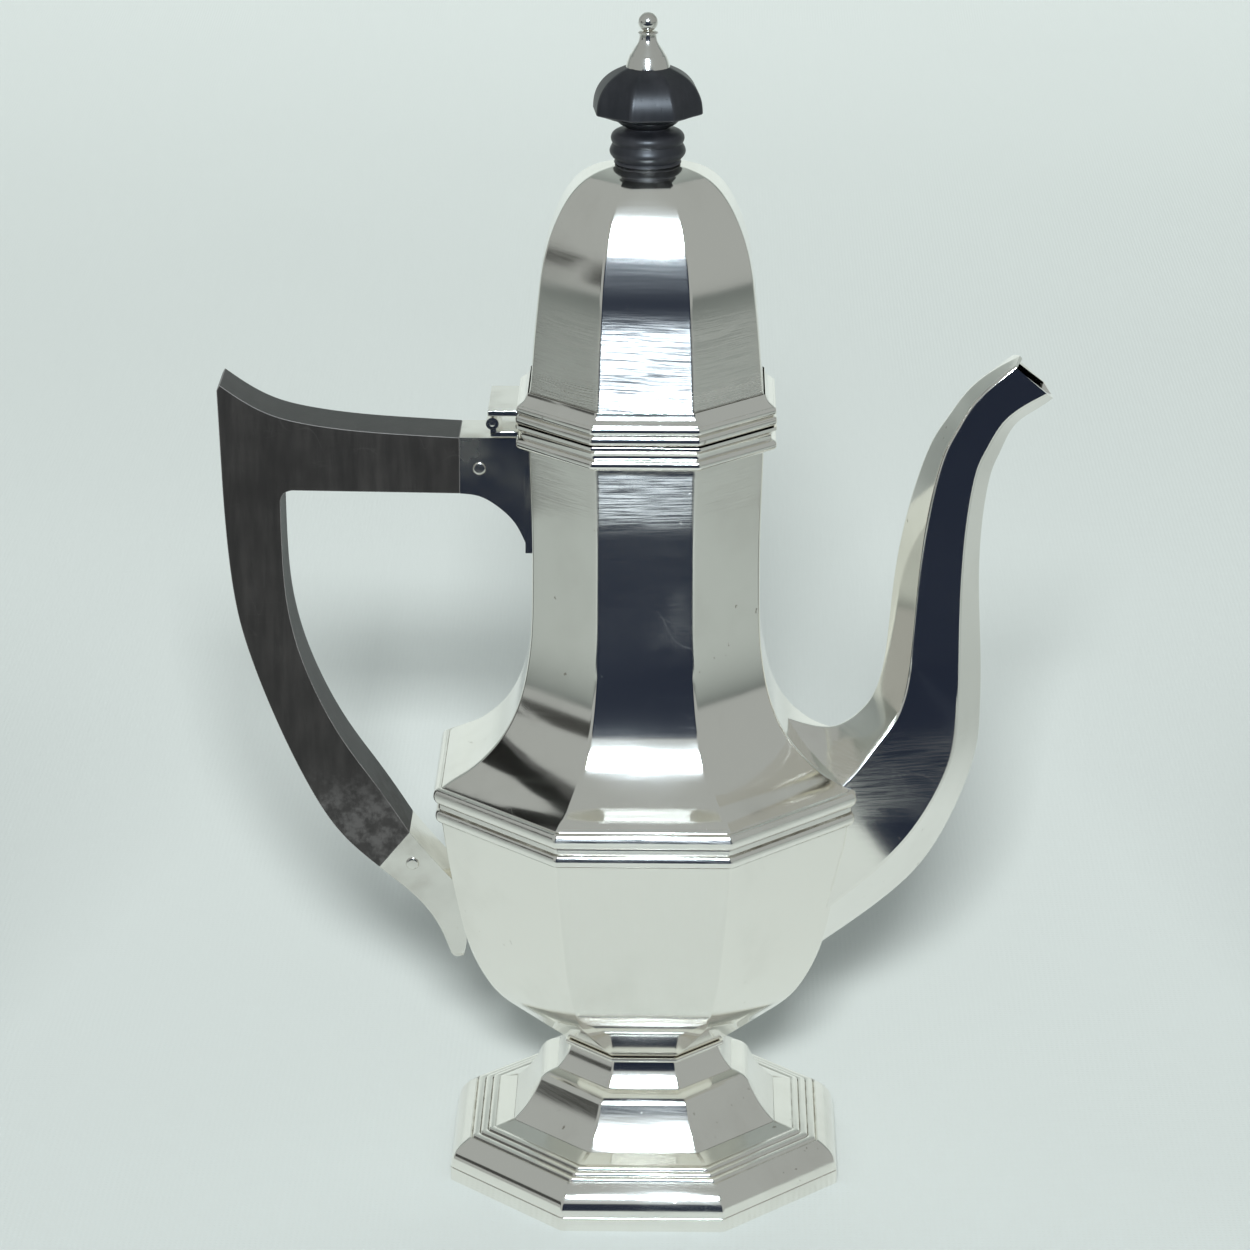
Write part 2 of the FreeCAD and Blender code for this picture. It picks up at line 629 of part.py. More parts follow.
def build():
    """Every sub-part by node name."""
    envelope = body_envelope()
    spout, front_half, rear_half = make_spout_halves(envelope)
    girdle = make_girdle()
    mouth = make_mouth_moulding()
    lid_moulding = make_lid_moulding()
    plate = make_upper_socket_plate(envelope)
    return {
        "foot_rim": make_foot_rim(),
        "foot": make_foot(),
        "stem": make_stem(),
        "waist_bead": make_waist_bead(),
        "bowl": make_bowl(),
        "girdle_moulding": girdle.cut(spout),
        "upper_body": make_upper_body(),
        "mouth_moulding": mouth,
        "spout_front_half": front_half,
        "spout_rear_half": rear_half,
        "handle": make_handle(),
        "upper_socket": make_upper_socket(mouth, plate),
        "upper_socket_plate": plate,
        "lower_socket": make_lower_socket(envelope),
        "upper_rivet": rivet(UPPER_RIVET, RIVET_HEAD),
        "lower_rivet": rivet(lower_rivet_place(), RIVET_HEAD),
        "body_hinge_leaf": make_body_leaf(mouth),
        "hinge_pin": cylinder_y(HINGE_X, HINGE_Z, PIN_RADIUS, -HINGE_LENGTH / 2, HINGE_LENGTH / 2),
        "lid_hinge_leaf": make_lid_leaf(lid_moulding),
        "lid_dome": make_lid_dome(),
        "lid_moulding": lid_moulding,
        "lid_bezel": make_lid_bezel(),
        "knob": make_knob(),
        "finial": make_finial(),
        "knob_bolt": make_knob_bolt(),
        "knob_washer": make_knob_washer(),
        "knob_nut": make_knob_nut(),
    }


os.makedirs("parts", exist_ok=True)
for name, shape in build().items():
    solid = shape.Solids[0] if len(shape.Solids) == 1 else shape
    solid.exportStep(os.path.join("parts", name + ".step"))
    box = solid.BoundBox
    size = f"{box.XLength:7.2f} x {box.YLength:7.2f} x {box.ZLength:7.2f}"
    print(f"{name:20s} solids {len(shape.Solids)} valid {solid.isValid()} volume {solid.Volume:9.1f} size {size}")
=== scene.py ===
"""An octagonal silver coffee pot with a hinged lid, a swan-neck spout and a dark wood handle and knob."""

import logging
import math
from collections.abc import Callable, Iterable, Sequence
from dataclasses import dataclass
from enum import Enum

import bmesh
import bpy
import numpy as np
from mathutils import Matrix, Vector


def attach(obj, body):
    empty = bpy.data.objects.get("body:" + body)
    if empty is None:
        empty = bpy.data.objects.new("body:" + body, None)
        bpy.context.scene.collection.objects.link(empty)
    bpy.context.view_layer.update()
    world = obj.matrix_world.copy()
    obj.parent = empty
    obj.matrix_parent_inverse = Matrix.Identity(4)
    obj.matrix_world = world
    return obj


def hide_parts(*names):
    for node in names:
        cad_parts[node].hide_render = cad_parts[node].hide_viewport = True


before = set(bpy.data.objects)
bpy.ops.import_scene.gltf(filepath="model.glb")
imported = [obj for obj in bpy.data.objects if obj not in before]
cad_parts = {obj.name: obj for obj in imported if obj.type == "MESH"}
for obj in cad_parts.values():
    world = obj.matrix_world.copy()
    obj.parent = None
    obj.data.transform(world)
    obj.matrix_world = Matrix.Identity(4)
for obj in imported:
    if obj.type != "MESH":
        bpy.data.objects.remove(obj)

Point = tuple[float, float]
Line = Sequence[Point]
Runs = Sequence[Line]
Triple = tuple[float, float, float]
Bead = tuple[float, float, float, float]
Colour = Triple
Material = bpy.types.Material
Node = bpy.types.Node
Socket = bpy.types.NodeSocket

MM = 0.001
SIDES = 8
CORNER_RATIO = math.cos(math.pi / SIDES)
MERGE = 2e-6
NARROW = 6.2e-4
WEAR_START = 0.12
WEAR_SPAN = 0.5
CRISP = math.radians(38.0)
LOG = logging.getLogger("coffee_pot")


class Body(Enum):
    """The two rigid bodies that the hinge joins."""

    POT = "pot"
    LID = "lid"


class Slot(Enum):
    """The record's material slots."""

    SILVER = "silver"
    FITTINGS = "silver_fittings"
    STEEL = "steel"
    HANDLE = "handle_wood"
    KNOB = "knob_wood"


# Outlines

def through(points: Line, step: float) -> list[Point]:
    """Points along a natural cubic through the given ones.

    Args:
        points: (across, height) points in millimetres; one or two are kept as they are.
        step: The distance between the new points.

    Returns:
        The new points, from the first given one to the last.
    """
    if len(points) < 3:
        return [tuple(map(float, point)) for point in points]
    given = np.array(points, float)
    gap = np.linalg.norm(np.diff(given, axis=0), axis=1)
    chord = np.concatenate([[0.0], np.cumsum(gap)])
    count = len(given)
    system = np.eye(count)
    right = np.zeros_like(given)
    for index in range(1, count - 1):
        system[index, index - 1:index + 2] = gap[index - 1], 2 * (gap[index - 1] + gap[index]), gap[index]
        slopes = np.diff(given[index - 1:index + 2], axis=0) / gap[index - 1:index + 1, None]
        right[index] = 6 * (slopes[1] - slopes[0])
    bend = np.linalg.solve(system, right)
    found = []
    for t in np.linspace(0.0, chord[-1], max(4, math.ceil(chord[-1] / step)) + 1):
        cell = min(int(np.searchsorted(chord, t, side="right")) - 1, count - 2)
        width = gap[cell]
        after = (t - chord[cell]) / width
        before = 1.0 - after
        lift = (before ** 3 - before) * bend[cell] + (after ** 3 - after) * bend[cell + 1]
        found.append(tuple(before * given[cell] + after * given[cell + 1] + lift * width ** 2 / 6))
    return found


def eased(points: Line, radius: float, least: float = 12.0, closed: bool = False) -> list[Point]:
    """The line with every kink replaced by a small round.

    Args:
        points: The line, in millimetres.
        radius: How far from the kink its round starts.
        least: The smallest turn, in degrees, that counts as a kink.
        closed: Whether the last point joins the first.

    Returns:
        The eased line.
    """
    count = len(points)
    found = []
    for index, here in enumerate(points):
        if not closed and index in (0, count - 1):
            found.append(here)
            continue
        at = Vector(here)
        back, on = Vector(points[index - 1]) - at, Vector(points[(index + 1) % count]) - at
        if back.length < 1e-6 or math.degrees((-back).angle(on, 0.0)) < least:
            found.append(here)
            continue
        reach = min(radius, 0.45 * back.length, 0.45 * on.length)
        start, end = at + back.normalized() * reach, at + on.normalized() * reach
        for share in (0.0, 0.3, 0.7, 1.0):
            rest = 1.0 - share
            found.append(tuple(rest * rest * start + 2 * rest * share * at + share * share * end))
    return found


def line_of(runs: Runs, step: float = 0.8, ease: float = 0.12, closed: bool = False) -> list[Point]:
    """One line through all the runs, smooth inside a run and straight between them.

    Args:
        runs: The runs, in millimetres.
        step: The distance between the new points.
        ease: How far the round at a kink reaches.
        closed: Whether the last point joins the first.

    Returns:
        The line.
    """
    line: list[Point] = []
    for run in runs:
        made = through(run, step)
        line += made[1:] if line and math.dist(line[-1], made[0]) < 1e-6 else made
    if closed and math.dist(line[0], line[-1]) < 1e-6:
        line.pop()
    return eased(line, ease, closed=closed)


def bead(across: float, low: float, high: float, bulge: float) -> list[Point]:
    """Points of a half-round bead that stands proud of an upright face.

    Args:
        across: How far the face is from the axis.
        low: Where the bead starts.
        high: Where it ends.
        bulge: How far it stands out.

    Returns:
        Its points, from the bottom up.
    """
    turns = [math.pi * index / 6 for index in range(7)]
    middle, half = (low + high) / 2, (high - low) / 2
    return [(across + bulge * math.sin(turn), middle - half * math.cos(turn)) for turn in turns]


# Benchwork

class Workpiece:
    """A piece on the bench: a mesh that is shaped step by step and then dressed and put in its place."""

    def __init__(self, name: str) -> None:
        """Starts with an empty mesh."""
        self.name = name
        self.bm = bmesh.new()

    def outline(self, points: Line, place: Callable[[Point], Vector], closed: bool) -> list:
        """Draws a line of vertices and edges.

        Args:
            points: The line's points, in millimetres.
            place: Where a point goes, in metres.
            closed: Whether the last point joins the first.

        Returns:
            The new vertices and edges.
        """
        verts = [self.bm.verts.new(place(point)) for point in points]
        ends = verts[1:] + verts[:1] if closed else verts[1:]
        return verts + [self.bm.edges.new(pair) for pair in zip(verts, ends)]

    def spun(self, points: Line, steps: int = SIDES, closed: bool = True, turn: float = 0.0) -> None:
        """Spins an outline about the upright axis.

        Args:
            points: The outline in millimetres: apothems for an octagon, radii for a round piece.
            steps: Eight for an octagon, many for a round piece.
            closed: Whether the outline closes on itself.
            turn: How far the piece is turned about its axis, in degrees.
        """
        octagon = steps == SIDES
        angle = math.radians(turn) + (math.pi / SIDES if octagon else 0.0)
        ratio = CORNER_RATIO if octagon else 1.0

        def place(point: Point) -> Vector:
            """A point in the plane that is spun."""
            reach = max(point[0], 0.0) / ratio * MM
            return Vector((reach * math.cos(angle), reach * math.sin(angle), point[1] * MM))

        geometry = self.outline(points, place, closed)
        bmesh.ops.spin(self.bm, geom=geometry, cent=(0, 0, 0), axis=(0, 0, 1), angle=2 * math.pi,
                       steps=steps, use_merge=True)
        self.heal()

    def heal(self) -> None:
        """Merges doubles, drops edges with no face and points every face outwards."""
        bmesh.ops.remove_doubles(self.bm, verts=self.bm.verts, dist=MERGE)
        bmesh.ops.dissolve_degenerate(self.bm, edges=self.bm.edges, dist=MERGE)
        loose = [edge for edge in self.bm.edges if not edge.link_faces]
        bmesh.ops.delete(self.bm, geom=loose, context="EDGES")
        bmesh.ops.recalc_face_normals(self.bm, faces=self.bm.faces)

    def ring(self, runs: Runs, step: float, ease: float, corner: float) -> "Workpiece":
        """Turns a closed octagonal moulding.

        Args:
            runs: Its outline, in millimetres.
            step: The distance between the outline's points.
            ease: How far the rounds at the kinks reach.
            corner: How far the rounds at the corners reach.

        Returns:
            The piece itself.
        """
        self.spun(line_of(runs, step, ease, closed=True))
        self.corners(corner)
        return self

    def shell(self, runs: Runs, step: float, ease: float, wall: float) -> "Workpiece":
        """Turns a hollow octagonal shell.

        Args:
            runs: Its outer faces, in millimetres.
            step: The distance between the outline's points.
            ease: How far the rounds at the kinks reach.
            wall: How thick it is.

        Returns:
            The piece itself.
        """
        self.spun(line_of(runs, step, ease), closed=False)
        self.walled(wall)
        return self

    def walled(self, wall: float) -> None:
        """Gives an open skin a wall on its inner side, in millimetres."""
        self.heal()
        bmesh.ops.solidify(self.bm, geom=self.bm.faces, thickness=wall * MM)

    def corners(self, width: float, segments: int = 3) -> None:
        """Rounds the upright corners of an octagonal piece.

        Args:
            width: How far each side of the corner the round reaches, in millimetres.
            segments: The number of strips in the round.
        """
        edges = []
        for edge in self.bm.edges:
            low, high = (Vector(vert.co.xy) for vert in edge.verts)
            flat = abs(low.cross(high)) < 1e-9 and low.length > 1e-6 and high.length > 1e-6
            if flat and edge.is_manifold and edge.calc_face_angle(0.0) > math.radians(5.0):
                edges.append(edge)
        self.bevel(edges, width, segments)

    def bevel(self, edges: Iterable, width: float, segments: int = 2) -> None:
        """Bevels the edges by a width in millimetres."""
        bmesh.ops.bevel(self.bm, geom=list(edges), offset=width * MM, offset_type="OFFSET", affect="EDGES",
                        segments=segments, profile=0.5, material=-1, clamp_overlap=True)

    def soft_edges(self, width: float, least: float = 30.0, segments: int = 2) -> None:
        """Bevels every edge that is sharper than a number of degrees."""
        sharp = [edge for edge in self.bm.edges
                 if edge.is_manifold and edge.calc_face_angle(0.0) > math.radians(least)]
        self.bevel(sharp, width, segments)

    def plate(self, points: Line, half: float) -> None:
        """A side outline of (x, z) points, given a half width either side of the middle plane."""
        geometry = self.outline(points, lambda point: Vector((point[0] * MM, -half * MM, point[1] * MM)), True)
        face = self.bm.faces.new([item for item in geometry if isinstance(item, bmesh.types.BMVert)])
        made = bmesh.ops.extrude_face_region(self.bm, geom=[face])
        moved = [item for item in made["geom"] if isinstance(item, bmesh.types.BMVert)]
        bmesh.ops.translate(self.bm, verts=moved, vec=(0, 2 * half * MM, 0))
        self.heal()

    def sliced(self, at: Triple, across: Triple, keep_all: bool = True) -> None:
        """Cuts the faces along a plane.

        Args:
            at: A point of the plane, in millimetres.
            across: The plane's normal.
            keep_all: Whether the side that the normal points to stays.
        """
        geometry = list(self.bm.verts) + list(self.bm.edges) + list(self.bm.faces)
        bmesh.ops.bisect_plane(self.bm, geom=geometry, dist=MERGE, plane_co=Vector(at) * MM, plane_no=across,
                               clear_outer=not keep_all)

    def block(self, low: Triple, high: Triple) -> None:
        """A rectangular block between two corners, in millimetres."""
        middle = [(a + b) / 2 * MM for a, b in zip(low, high)]
        size = [(b - a) * MM for a, b in zip(low, high)]
        bmesh.ops.create_cube(self.bm, size=1.0,
                              matrix=Matrix.Translation(middle) @ Matrix.Diagonal((*size, 1.0)))

    def bar(self, start: Triple, along: Triple, radius: float, length: float,
            segments: int = 32) -> None:
        """A round bar from a point along a direction, in millimetres."""
        way = Vector(along).normalized()
        turn = way.to_track_quat("Z", "Y").to_matrix().to_4x4()
        middle = (Vector(start) + way * length / 2) * MM
        bmesh.ops.create_cone(self.bm, cap_ends=True, segments=segments, radius1=radius * MM,
                              radius2=radius * MM, depth=length * MM,
                              matrix=Matrix.Translation(middle) @ turn)

    def mesh(self) -> bpy.types.Mesh:
        """The piece's mesh as it stands."""
        data = bpy.data.meshes.new(self.name)
        self.bm.to_mesh(data)
        return data

    def cut(self, tool: "Workpiece") -> None:
        """Cuts the piece with another closed piece, which is used up."""
        made = [bpy.data.objects.new("bench", piece.mesh()) for piece in (self, tool)]
        for item in made:
            bpy.context.scene.collection.objects.link(item)
        modifier = made[0].modifiers.new("cut", "BOOLEAN")
        modifier.operation = "DIFFERENCE"
        modifier.solver = "EXACT"
        modifier.object = made[1]
        bpy.context.view_layer.update()
        result = made[0].evaluated_get(bpy.context.evaluated_depsgraph_get()).to_mesh()
        self.bm.clear()
        self.bm.from_mesh(result)
        for item in made:
            data = item.data
            bpy.data.objects.remove(item)
            bpy.data.meshes.remove(data)
        tool.bm.free()

    def wear_marks(self) -> None:
        """Writes how hollow and how proud each corner is, on narrow faces only, for grime and rubbed edges."""
        self.bm.faces.index_update()
        narrow = [face.calc_area() < NARROW * max(edge.calc_length() for edge in face.edges)
                  for face in self.bm.faces]
        for label, sign in (("crevice", -1.0), ("proud", 1.0)):
            layer = self.bm.loops.layers.float.new(label)
            for vert in self.bm.verts:
                turns = [edge.calc_face_angle_signed(0.0) for edge in vert.link_edges if edge.is_manifold]
                worst = max([sign * turn for turn in turns], default=0.0)
                worn = min(max((worst - WEAR_START) / WEAR_SPAN, 0.0), 1.0)
                for loop in vert.link_loops:
                    loop[layer] = worn if narrow[loop.face.index] else 0.0

    def finish(self, material: Material, *nodes: str, slot: Slot = Slot.SILVER, body: Body = Body.POT) -> None:
        """Makes the piece an object of the pot.

        Args:
            material: What the piece is made of.
            nodes: The frame's nodes that it stands for.
            slot: The record's slot that its finish comes from; not used.
            body: The body that it moves with.
        """
        self.wear_marks()
        for edge in self.bm.edges:
            edge.smooth = not edge.is_manifold or edge.calc_face_angle(0.0) < CRISP
        for face in self.bm.faces:
            face.smooth = True
        piece = bpy.data.objects.new(self.name, self.mesh())
        self.bm.free()
        bpy.context.scene.collection.objects.link(piece)
        piece.data.materials.append(material)
        modifier = piece.modifiers.new("Facets", "WEIGHTED_NORMAL")
        modifier.keep_sharp = True
        modifier.weight = 60
        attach(piece, body.value)
        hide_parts(*nodes)
        LOG.info("%s: %d faces", piece.name, len(piece.data.polygons))


# Finishes

class Graph:
    """A node tree that is wired one node at a time."""

    def __init__(self, tree: bpy.types.NodeTree) -> None:
        """Starts with an empty tree."""
        self.tree = tree
        tree.nodes.clear()

    def add(self, kind: str, inputs: dict | None = None, **settings: object) -> Node:
        """Adds a node.

        Args:
            kind: The node's type, without its ShaderNode prefix.
            inputs: A socket or a value for each input, by name or place.
            settings: The node's own settings.

        Returns:
            The new node.
        """
        node = self.tree.nodes.new(("" if kind.startswith("Node") else "ShaderNode") + kind)
        for key, value in settings.items():
            setattr(node, key, value)
        for key, value in (inputs or {}).items():
            self.feed(node.inputs[key], value)
        return node

    def feed(self, socket: Socket, value: object) -> None:
        """Links a socket to another one, or sets its value."""
        if isinstance(value, Socket):
            self.tree.links.new(value, socket)
        else:
            socket.default_value = value

    def calc(self, operation: str, first: object, second: object = 0.0, clamp: bool = False) -> Socket:
        """The result of a Math node on two values."""
        return self.add("Math", {0: first, 1: second}, operation=operation, use_clamp=clamp).outputs[0]

    def times(self, first: object, second: object) -> Socket:
        """One value times another."""
        return self.calc("MULTIPLY", first, second)

    def plus(self, first: object, second: object) -> Socket:
        """One value plus another."""
        return self.calc("ADD", first, second)

    def minus(self, first: object, second: object) -> Socket:
        """One value less another."""
        return self.calc("SUBTRACT", first, second)

    def most(self, first: object, second: object) -> Socket:
        """The larger of two values."""
        return self.calc("MAXIMUM", first, second)

    def away(self, first: object, second: object) -> Socket:
        """How far two values are apart."""
        return self.calc("ABSOLUTE", self.minus(first, second))

    def blend(self, share: object, first: Colour | Socket, second: Colour) -> Socket:
        """A colour between two colours."""
        start = first if isinstance(first, Socket) else (*first, 1.0)
        return self.add("Mix", {0: share, 6: start, 7: (*second, 1.0)}, data_type="RGBA").outputs[2]

    def span(self, value: object, low: float, high: float, start: float = 0.0, end: float = 1.0) -> Socket:
        """A value carried smoothly from one range to another, and held at its ends."""
        inputs = {"Value": value, "From Min": low, "From Max": high, "To Min": start, "To Max": end}
        return self.add("MapRange", inputs, interpolation_type="SMOOTHSTEP").outputs["Result"]

    def stretched(self, vector: object, scale: Triple, turn: Triple = (0.0, 0.0, 0.0)) -> Socket:
        """Coordinates that are turned and stretched."""
        return self.add("Mapping", {"Vector": vector, "Rotation": turn, "Scale": scale}).outputs["Vector"]

    def noise(self, vector: object, scale: object, detail: float = 2.0, rough: float = 0.5) -> Socket:
        """A noise value."""
        inputs = {"Vector": vector, "Scale": scale, "Detail": detail, "Roughness": rough}
        return self.add("TexNoise", inputs).outputs[0]

    def axis(self, vector: object, name: str) -> Socket:
        """One coordinate of a vector."""
        return self.add("SeparateXYZ", {0: vector}).outputs[name]

    def mark(self, label: str) -> Socket:
        """One of the piece's own wear marks."""
        return self.add("Attribute", attribute_name=label).outputs["Fac"]

    def relief(self, shader: Node, height: Socket, strength: float = 1.0, distance: float = MM) -> None:
        """Bends the shader's normal by a height."""
        inputs = {"Strength": strength, "Distance": distance, "Height": height}
        self.feed(shader.inputs["Normal"], self.add("Bump", inputs).outputs[0])

    def effect(self, group: Callable[[], bpy.types.NodeTree], inputs: dict) -> Node:
        """Places one of the shared effects."""
        return self.add("Group", inputs, node_tree=group())


Outputs = dict[str, Socket]


def shared(name: str, *values: str) -> Callable:
    """Turns a function that draws nodes into one that makes a shared node group once.

    Args:
        name: The group's name.
        values: Its plain inputs, after the Vector that every group takes.

    Returns:
        The decorator.
    """

    def wrap(draw: Callable[[Graph, Node], Outputs]) -> Callable[[], bpy.types.NodeTree]:
        """Wraps the drawing function."""

        def group() -> bpy.types.NodeTree:
            """The group, made when it is first asked for."""
            if name in bpy.data.node_groups:
                return bpy.data.node_groups[name]
            tree = bpy.data.node_groups.new(name, "ShaderNodeTree")
            graph = Graph(tree)
            tree.interface.new_socket(name="Vector", in_out="INPUT", socket_type="NodeSocketVector")
            for value in values:
                tree.interface.new_socket(name=value, in_out="INPUT", socket_type="NodeSocketFloat")
            found = draw(graph, graph.add("NodeGroupInput"))
            for label in found:
                tree.interface.new_socket(name=label, in_out="OUTPUT", socket_type="NodeSocketFloat")
            graph.add("NodeGroupOutput", found)
            return tree

        return group

    return wrap


@shared("Polishing lines", "Density")
def polishing_lines(graph: Graph, source: Node) -> Outputs:
    """Fine level lines that a polishing cloth leaves, stronger in some patches than in others."""
    vector, density = source.outputs["Vector"], source.outputs["Density"]
    sway = graph.noise(vector, 14.0, 1.0)
    drift = graph.add("CombineXYZ", {"Z": graph.times(sway, 0.012)}).outputs[0]
    bent = graph.add("VectorMath", {0: vector, 1: drift}, operation="ADD").outputs[0]
    fine = graph.noise(graph.stretched(bent, (0.016, 0.016, 1.0)), density, 3.0, 0.7)
    loose = graph.noise(graph.stretched(bent, (0.03, 0.03, 1.0), (0.10, 0.07, 0.0)), density, 2.0, 0.6)
    patch = graph.noise(graph.stretched(vector, (0.7, 0.7, 1.4)), 26.0, 2.0, 0.55)
    amount = graph.span(patch, 0.40, 0.64)
    height = graph.plus(fine, graph.times(loose, 0.6))
    return {"Height": graph.times(height, amount), "Amount": amount, "Streak": fine}


@shared("Hairlines", "Density")
def hairlines(graph: Graph, source: Node) -> Outputs:
    """Sparse curved scratches from handling, in several directions."""
    vector, density = source.outputs["Vector"], source.outputs["Density"]
    marks = None
    for turn, stretch in (((0.5, 0.9, 0.3), (1.0, 0.16, 0.22)), ((1.4, 0.3, 1.1), (0.2, 1.0, 0.13)),
                          ((0.2, 2.1, 0.7), (0.15, 0.2, 1.0))):
        ridge = graph.noise(graph.stretched(vector, stretch, turn), density, 1.0, 0.4)
        line = graph.span(graph.away(ridge, 0.5), 0.0, 0.005, 1.0, 0.0)
        marks = line if marks is None else graph.most(marks, line)
    broken = graph.span(graph.noise(vector, 60.0, 2.0, 0.6), 0.52, 0.66)
    return {"Amount": graph.times(marks, broken)}


@shared("Hand work")
def hand_work(graph: Graph, source: Node) -> Outputs:
    """The slow swell of hand-raised sheet metal, which bends what it reflects."""
    vector = source.outputs["Vector"]
    broad, close = graph.noise(vector, 32.0, 1.0, 0.4), graph.noise(vector, 90.0, 1.0, 0.4)
    return {"Height": graph.plus(broad, graph.times(close, 0.22))}


@shared("Grime", "Hollow")
def grime(graph: Graph, source: Node) -> Outputs:
    """Old polish and tarnish that stays in hollows, with faint clouds on open faces."""
    vector, hollow = source.outputs["Vector"], source.outputs["Hollow"]
    broken = graph.span(graph.noise(vector, 220.0, 3.0, 0.65), 0.34, 0.62, 0.35, 1.0)
    cloud = graph.span(graph.noise(vector, 38.0, 4.0, 0.6), 0.48, 0.78)
    specks = graph.span(graph.noise(vector, 620.0, 2.0, 0.5), 0.70, 0.76)
    rare = graph.times(specks, graph.span(graph.noise(vector, 45.0, 1.0), 0.52, 0.62))
    return {"Packed": graph.times(hollow, broken), "Cloud": cloud, "Specks": rare}


@shared("Wood grain")
def wood_grain(graph: Graph, source: Node) -> Outputs:
    """Close straight grain with short pores."""
    vector = source.outputs["Vector"]
    streak = graph.noise(graph.stretched(vector, (1.0, 0.5, 0.12)), 420.0, 4.0, 0.6)
    pores = graph.span(graph.noise(graph.stretched(vector, (1.0, 1.0, 0.09)), 1500.0, 2.0, 0.5), 0.60, 0.72)
    return {"Streak": streak, "Pores": pores, "Cloud": graph.noise(vector, 48.0, 4.0, 0.6)}


def started(name: str) -> tuple[Material, Graph, Node, Socket]:
    """A new material with its shader and its Object coordinates."""
    material = bpy.data.materials.new(name)
    material.use_nodes = True
    graph = Graph(material.node_tree)
    shader = graph.add("BsdfPrincipled")
    graph.add("OutputMaterial", {0: shader.outputs[0]})
    return material, graph, shader, graph.add("TexCoord").outputs["Object"]


@dataclass(frozen=True)
class MetalFinish:
    """A polished or machined metal with its own wear."""

    name: str
    tint: Colour
    dull: Colour = (0.30, 0.26, 0.20)
    rough: float = 0.07
    lines: float = 0.0022
    density: float = 5200.0
    scratches: float = 240.0
    scratch_depth: float = 0.0003
    scratch_haze: float = 0.04
    swell: float = 0.10
    grime: float = 0.85
    specks: float = 0.6
    clouds: float = 0.12
    soil_haze: float = 0.30
    brushed: float = 0.0
    patches: float = 0.15
    bands: Sequence[Triple] = ()

    def material(self) -> Material:
        """The finish as a material."""
        material, graph, shader, place = started(self.name)
        polish = graph.effect(polishing_lines, {"Vector": place, "Density": self.density})
        scratch = graph.effect(hairlines, {"Vector": place, "Density": self.scratches}).outputs["Amount"]
        work = graph.effect(hand_work, {"Vector": place})
        soiled = self.soiled(graph, place)
        graph.feed(shader.inputs["Base Color"], graph.blend(soiled, self.tint, self.dull))
        haze = graph.plus(self.haze(graph, place, polish), graph.times(soiled, self.soil_haze))
        haze = graph.plus(haze, graph.times(scratch, self.scratch_haze))
        graph.feed(shader.inputs["Roughness"], graph.plus(haze, self.rough))
        shader.inputs["Metallic"].default_value = 1.0
        if self.brushed:
            shader.inputs["Anisotropic"].default_value = 1.0
            shader.inputs["Anisotropic Rotation"].default_value = 0.25
            tangent = graph.add("Tangent", direction_type="RADIAL", axis="Z")
            graph.feed(shader.inputs["Tangent"], tangent.outputs[0])
        height = graph.times(polish.outputs["Height"], self.lines)
        height = graph.plus(height, graph.times(work.outputs["Height"], self.swell))
        graph.relief(shader, graph.minus(height, graph.times(scratch, self.scratch_depth)))
        return material

    def soiled(self, graph: Graph, place: Socket) -> Socket:
        """How dirty the metal is."""
        dirt = graph.effect(grime, {"Vector": place, "Hollow": graph.mark("crevice")})
        packed = graph.calc("MULTIPLY", dirt.outputs["Packed"], self.grime, clamp=True)
        spots = graph.times(dirt.outputs["Specks"], self.specks)
        return graph.most(graph.most(packed, spots), graph.times(dirt.outputs["Cloud"], self.clouds))

    def haze(self, graph: Graph, place: Socket, polish: Node) -> Socket:
        """How hazy the polishing cloth has left it, in patches and at some heights."""
        level = graph.axis(place, "Z")
        cloth = graph.times(polish.outputs["Amount"], self.patches)
        for middle, reach, strength in self.bands:
            near = graph.span(graph.away(level, middle), reach * 0.45, reach, strength, 0.0)
            cloth = graph.plus(cloth, near)
        streak = graph.span(polish.outputs["Streak"], 0.38, 0.60, 0.38, 1.15)
        return graph.times(graph.times(cloth, streak), self.brushed)


@dataclass(frozen=True)
class EbonyFinish:
    """Oiled ebony, rubbed pale along its edges and dusty where it is seldom wiped."""

    name: str
    dark: Colour
    light: Colour
    worn: Colour
    rough: float = 0.42
    dust_top: float = -1.0
    dust_fade: float = 0.014
    dust: float = 0.22
    scratches: float = 300.0
    shine: float = 0.5

    def material(self) -> Material:
        """The finish as a material."""
        material, graph, shader, place = started(self.name)
        grain = graph.effect(wood_grain, {"Vector": place})
        streak, cloud = grain.outputs["Streak"], grain.outputs["Cloud"]
        scratch = graph.effect(hairlines, {"Vector": place, "Density": self.scratches})
        base = graph.blend(graph.span(graph.times(streak, cloud), 0.12, 0.42), self.dark, self.light)
        rubbed = graph.times(graph.mark("proud"), graph.span(cloud, 0.30, 0.62, 0.35, 1.0))
        rubbed = graph.most(rubbed, graph.times(scratch.outputs["Amount"], 0.05))
        low = graph.span(graph.axis(place, "Z"), self.dust_top - self.dust_fade, self.dust_top, 1.0, 0.0)
        film = graph.times(low, graph.span(graph.noise(place, 260.0, 4.0, 0.7), 0.42, 0.64, 0.15, 1.0))
        rubbed = graph.most(rubbed, graph.times(film, self.dust))
        graph.feed(shader.inputs["Base Color"], graph.blend(rubbed, base, self.worn))
        dull = graph.plus(graph.times(cloud, 0.16), self.rough - 0.08)
        graph.feed(shader.inputs["Roughness"], graph.plus(dull, graph.times(film, 0.2)))
        shader.inputs["Specular IOR Level"].default_value = self.shine
        pores = graph.times(grain.outputs["Pores"], 0.012)
        graph.relief(shader, graph.minus(graph.times(streak, 0.010), pores))
        return material


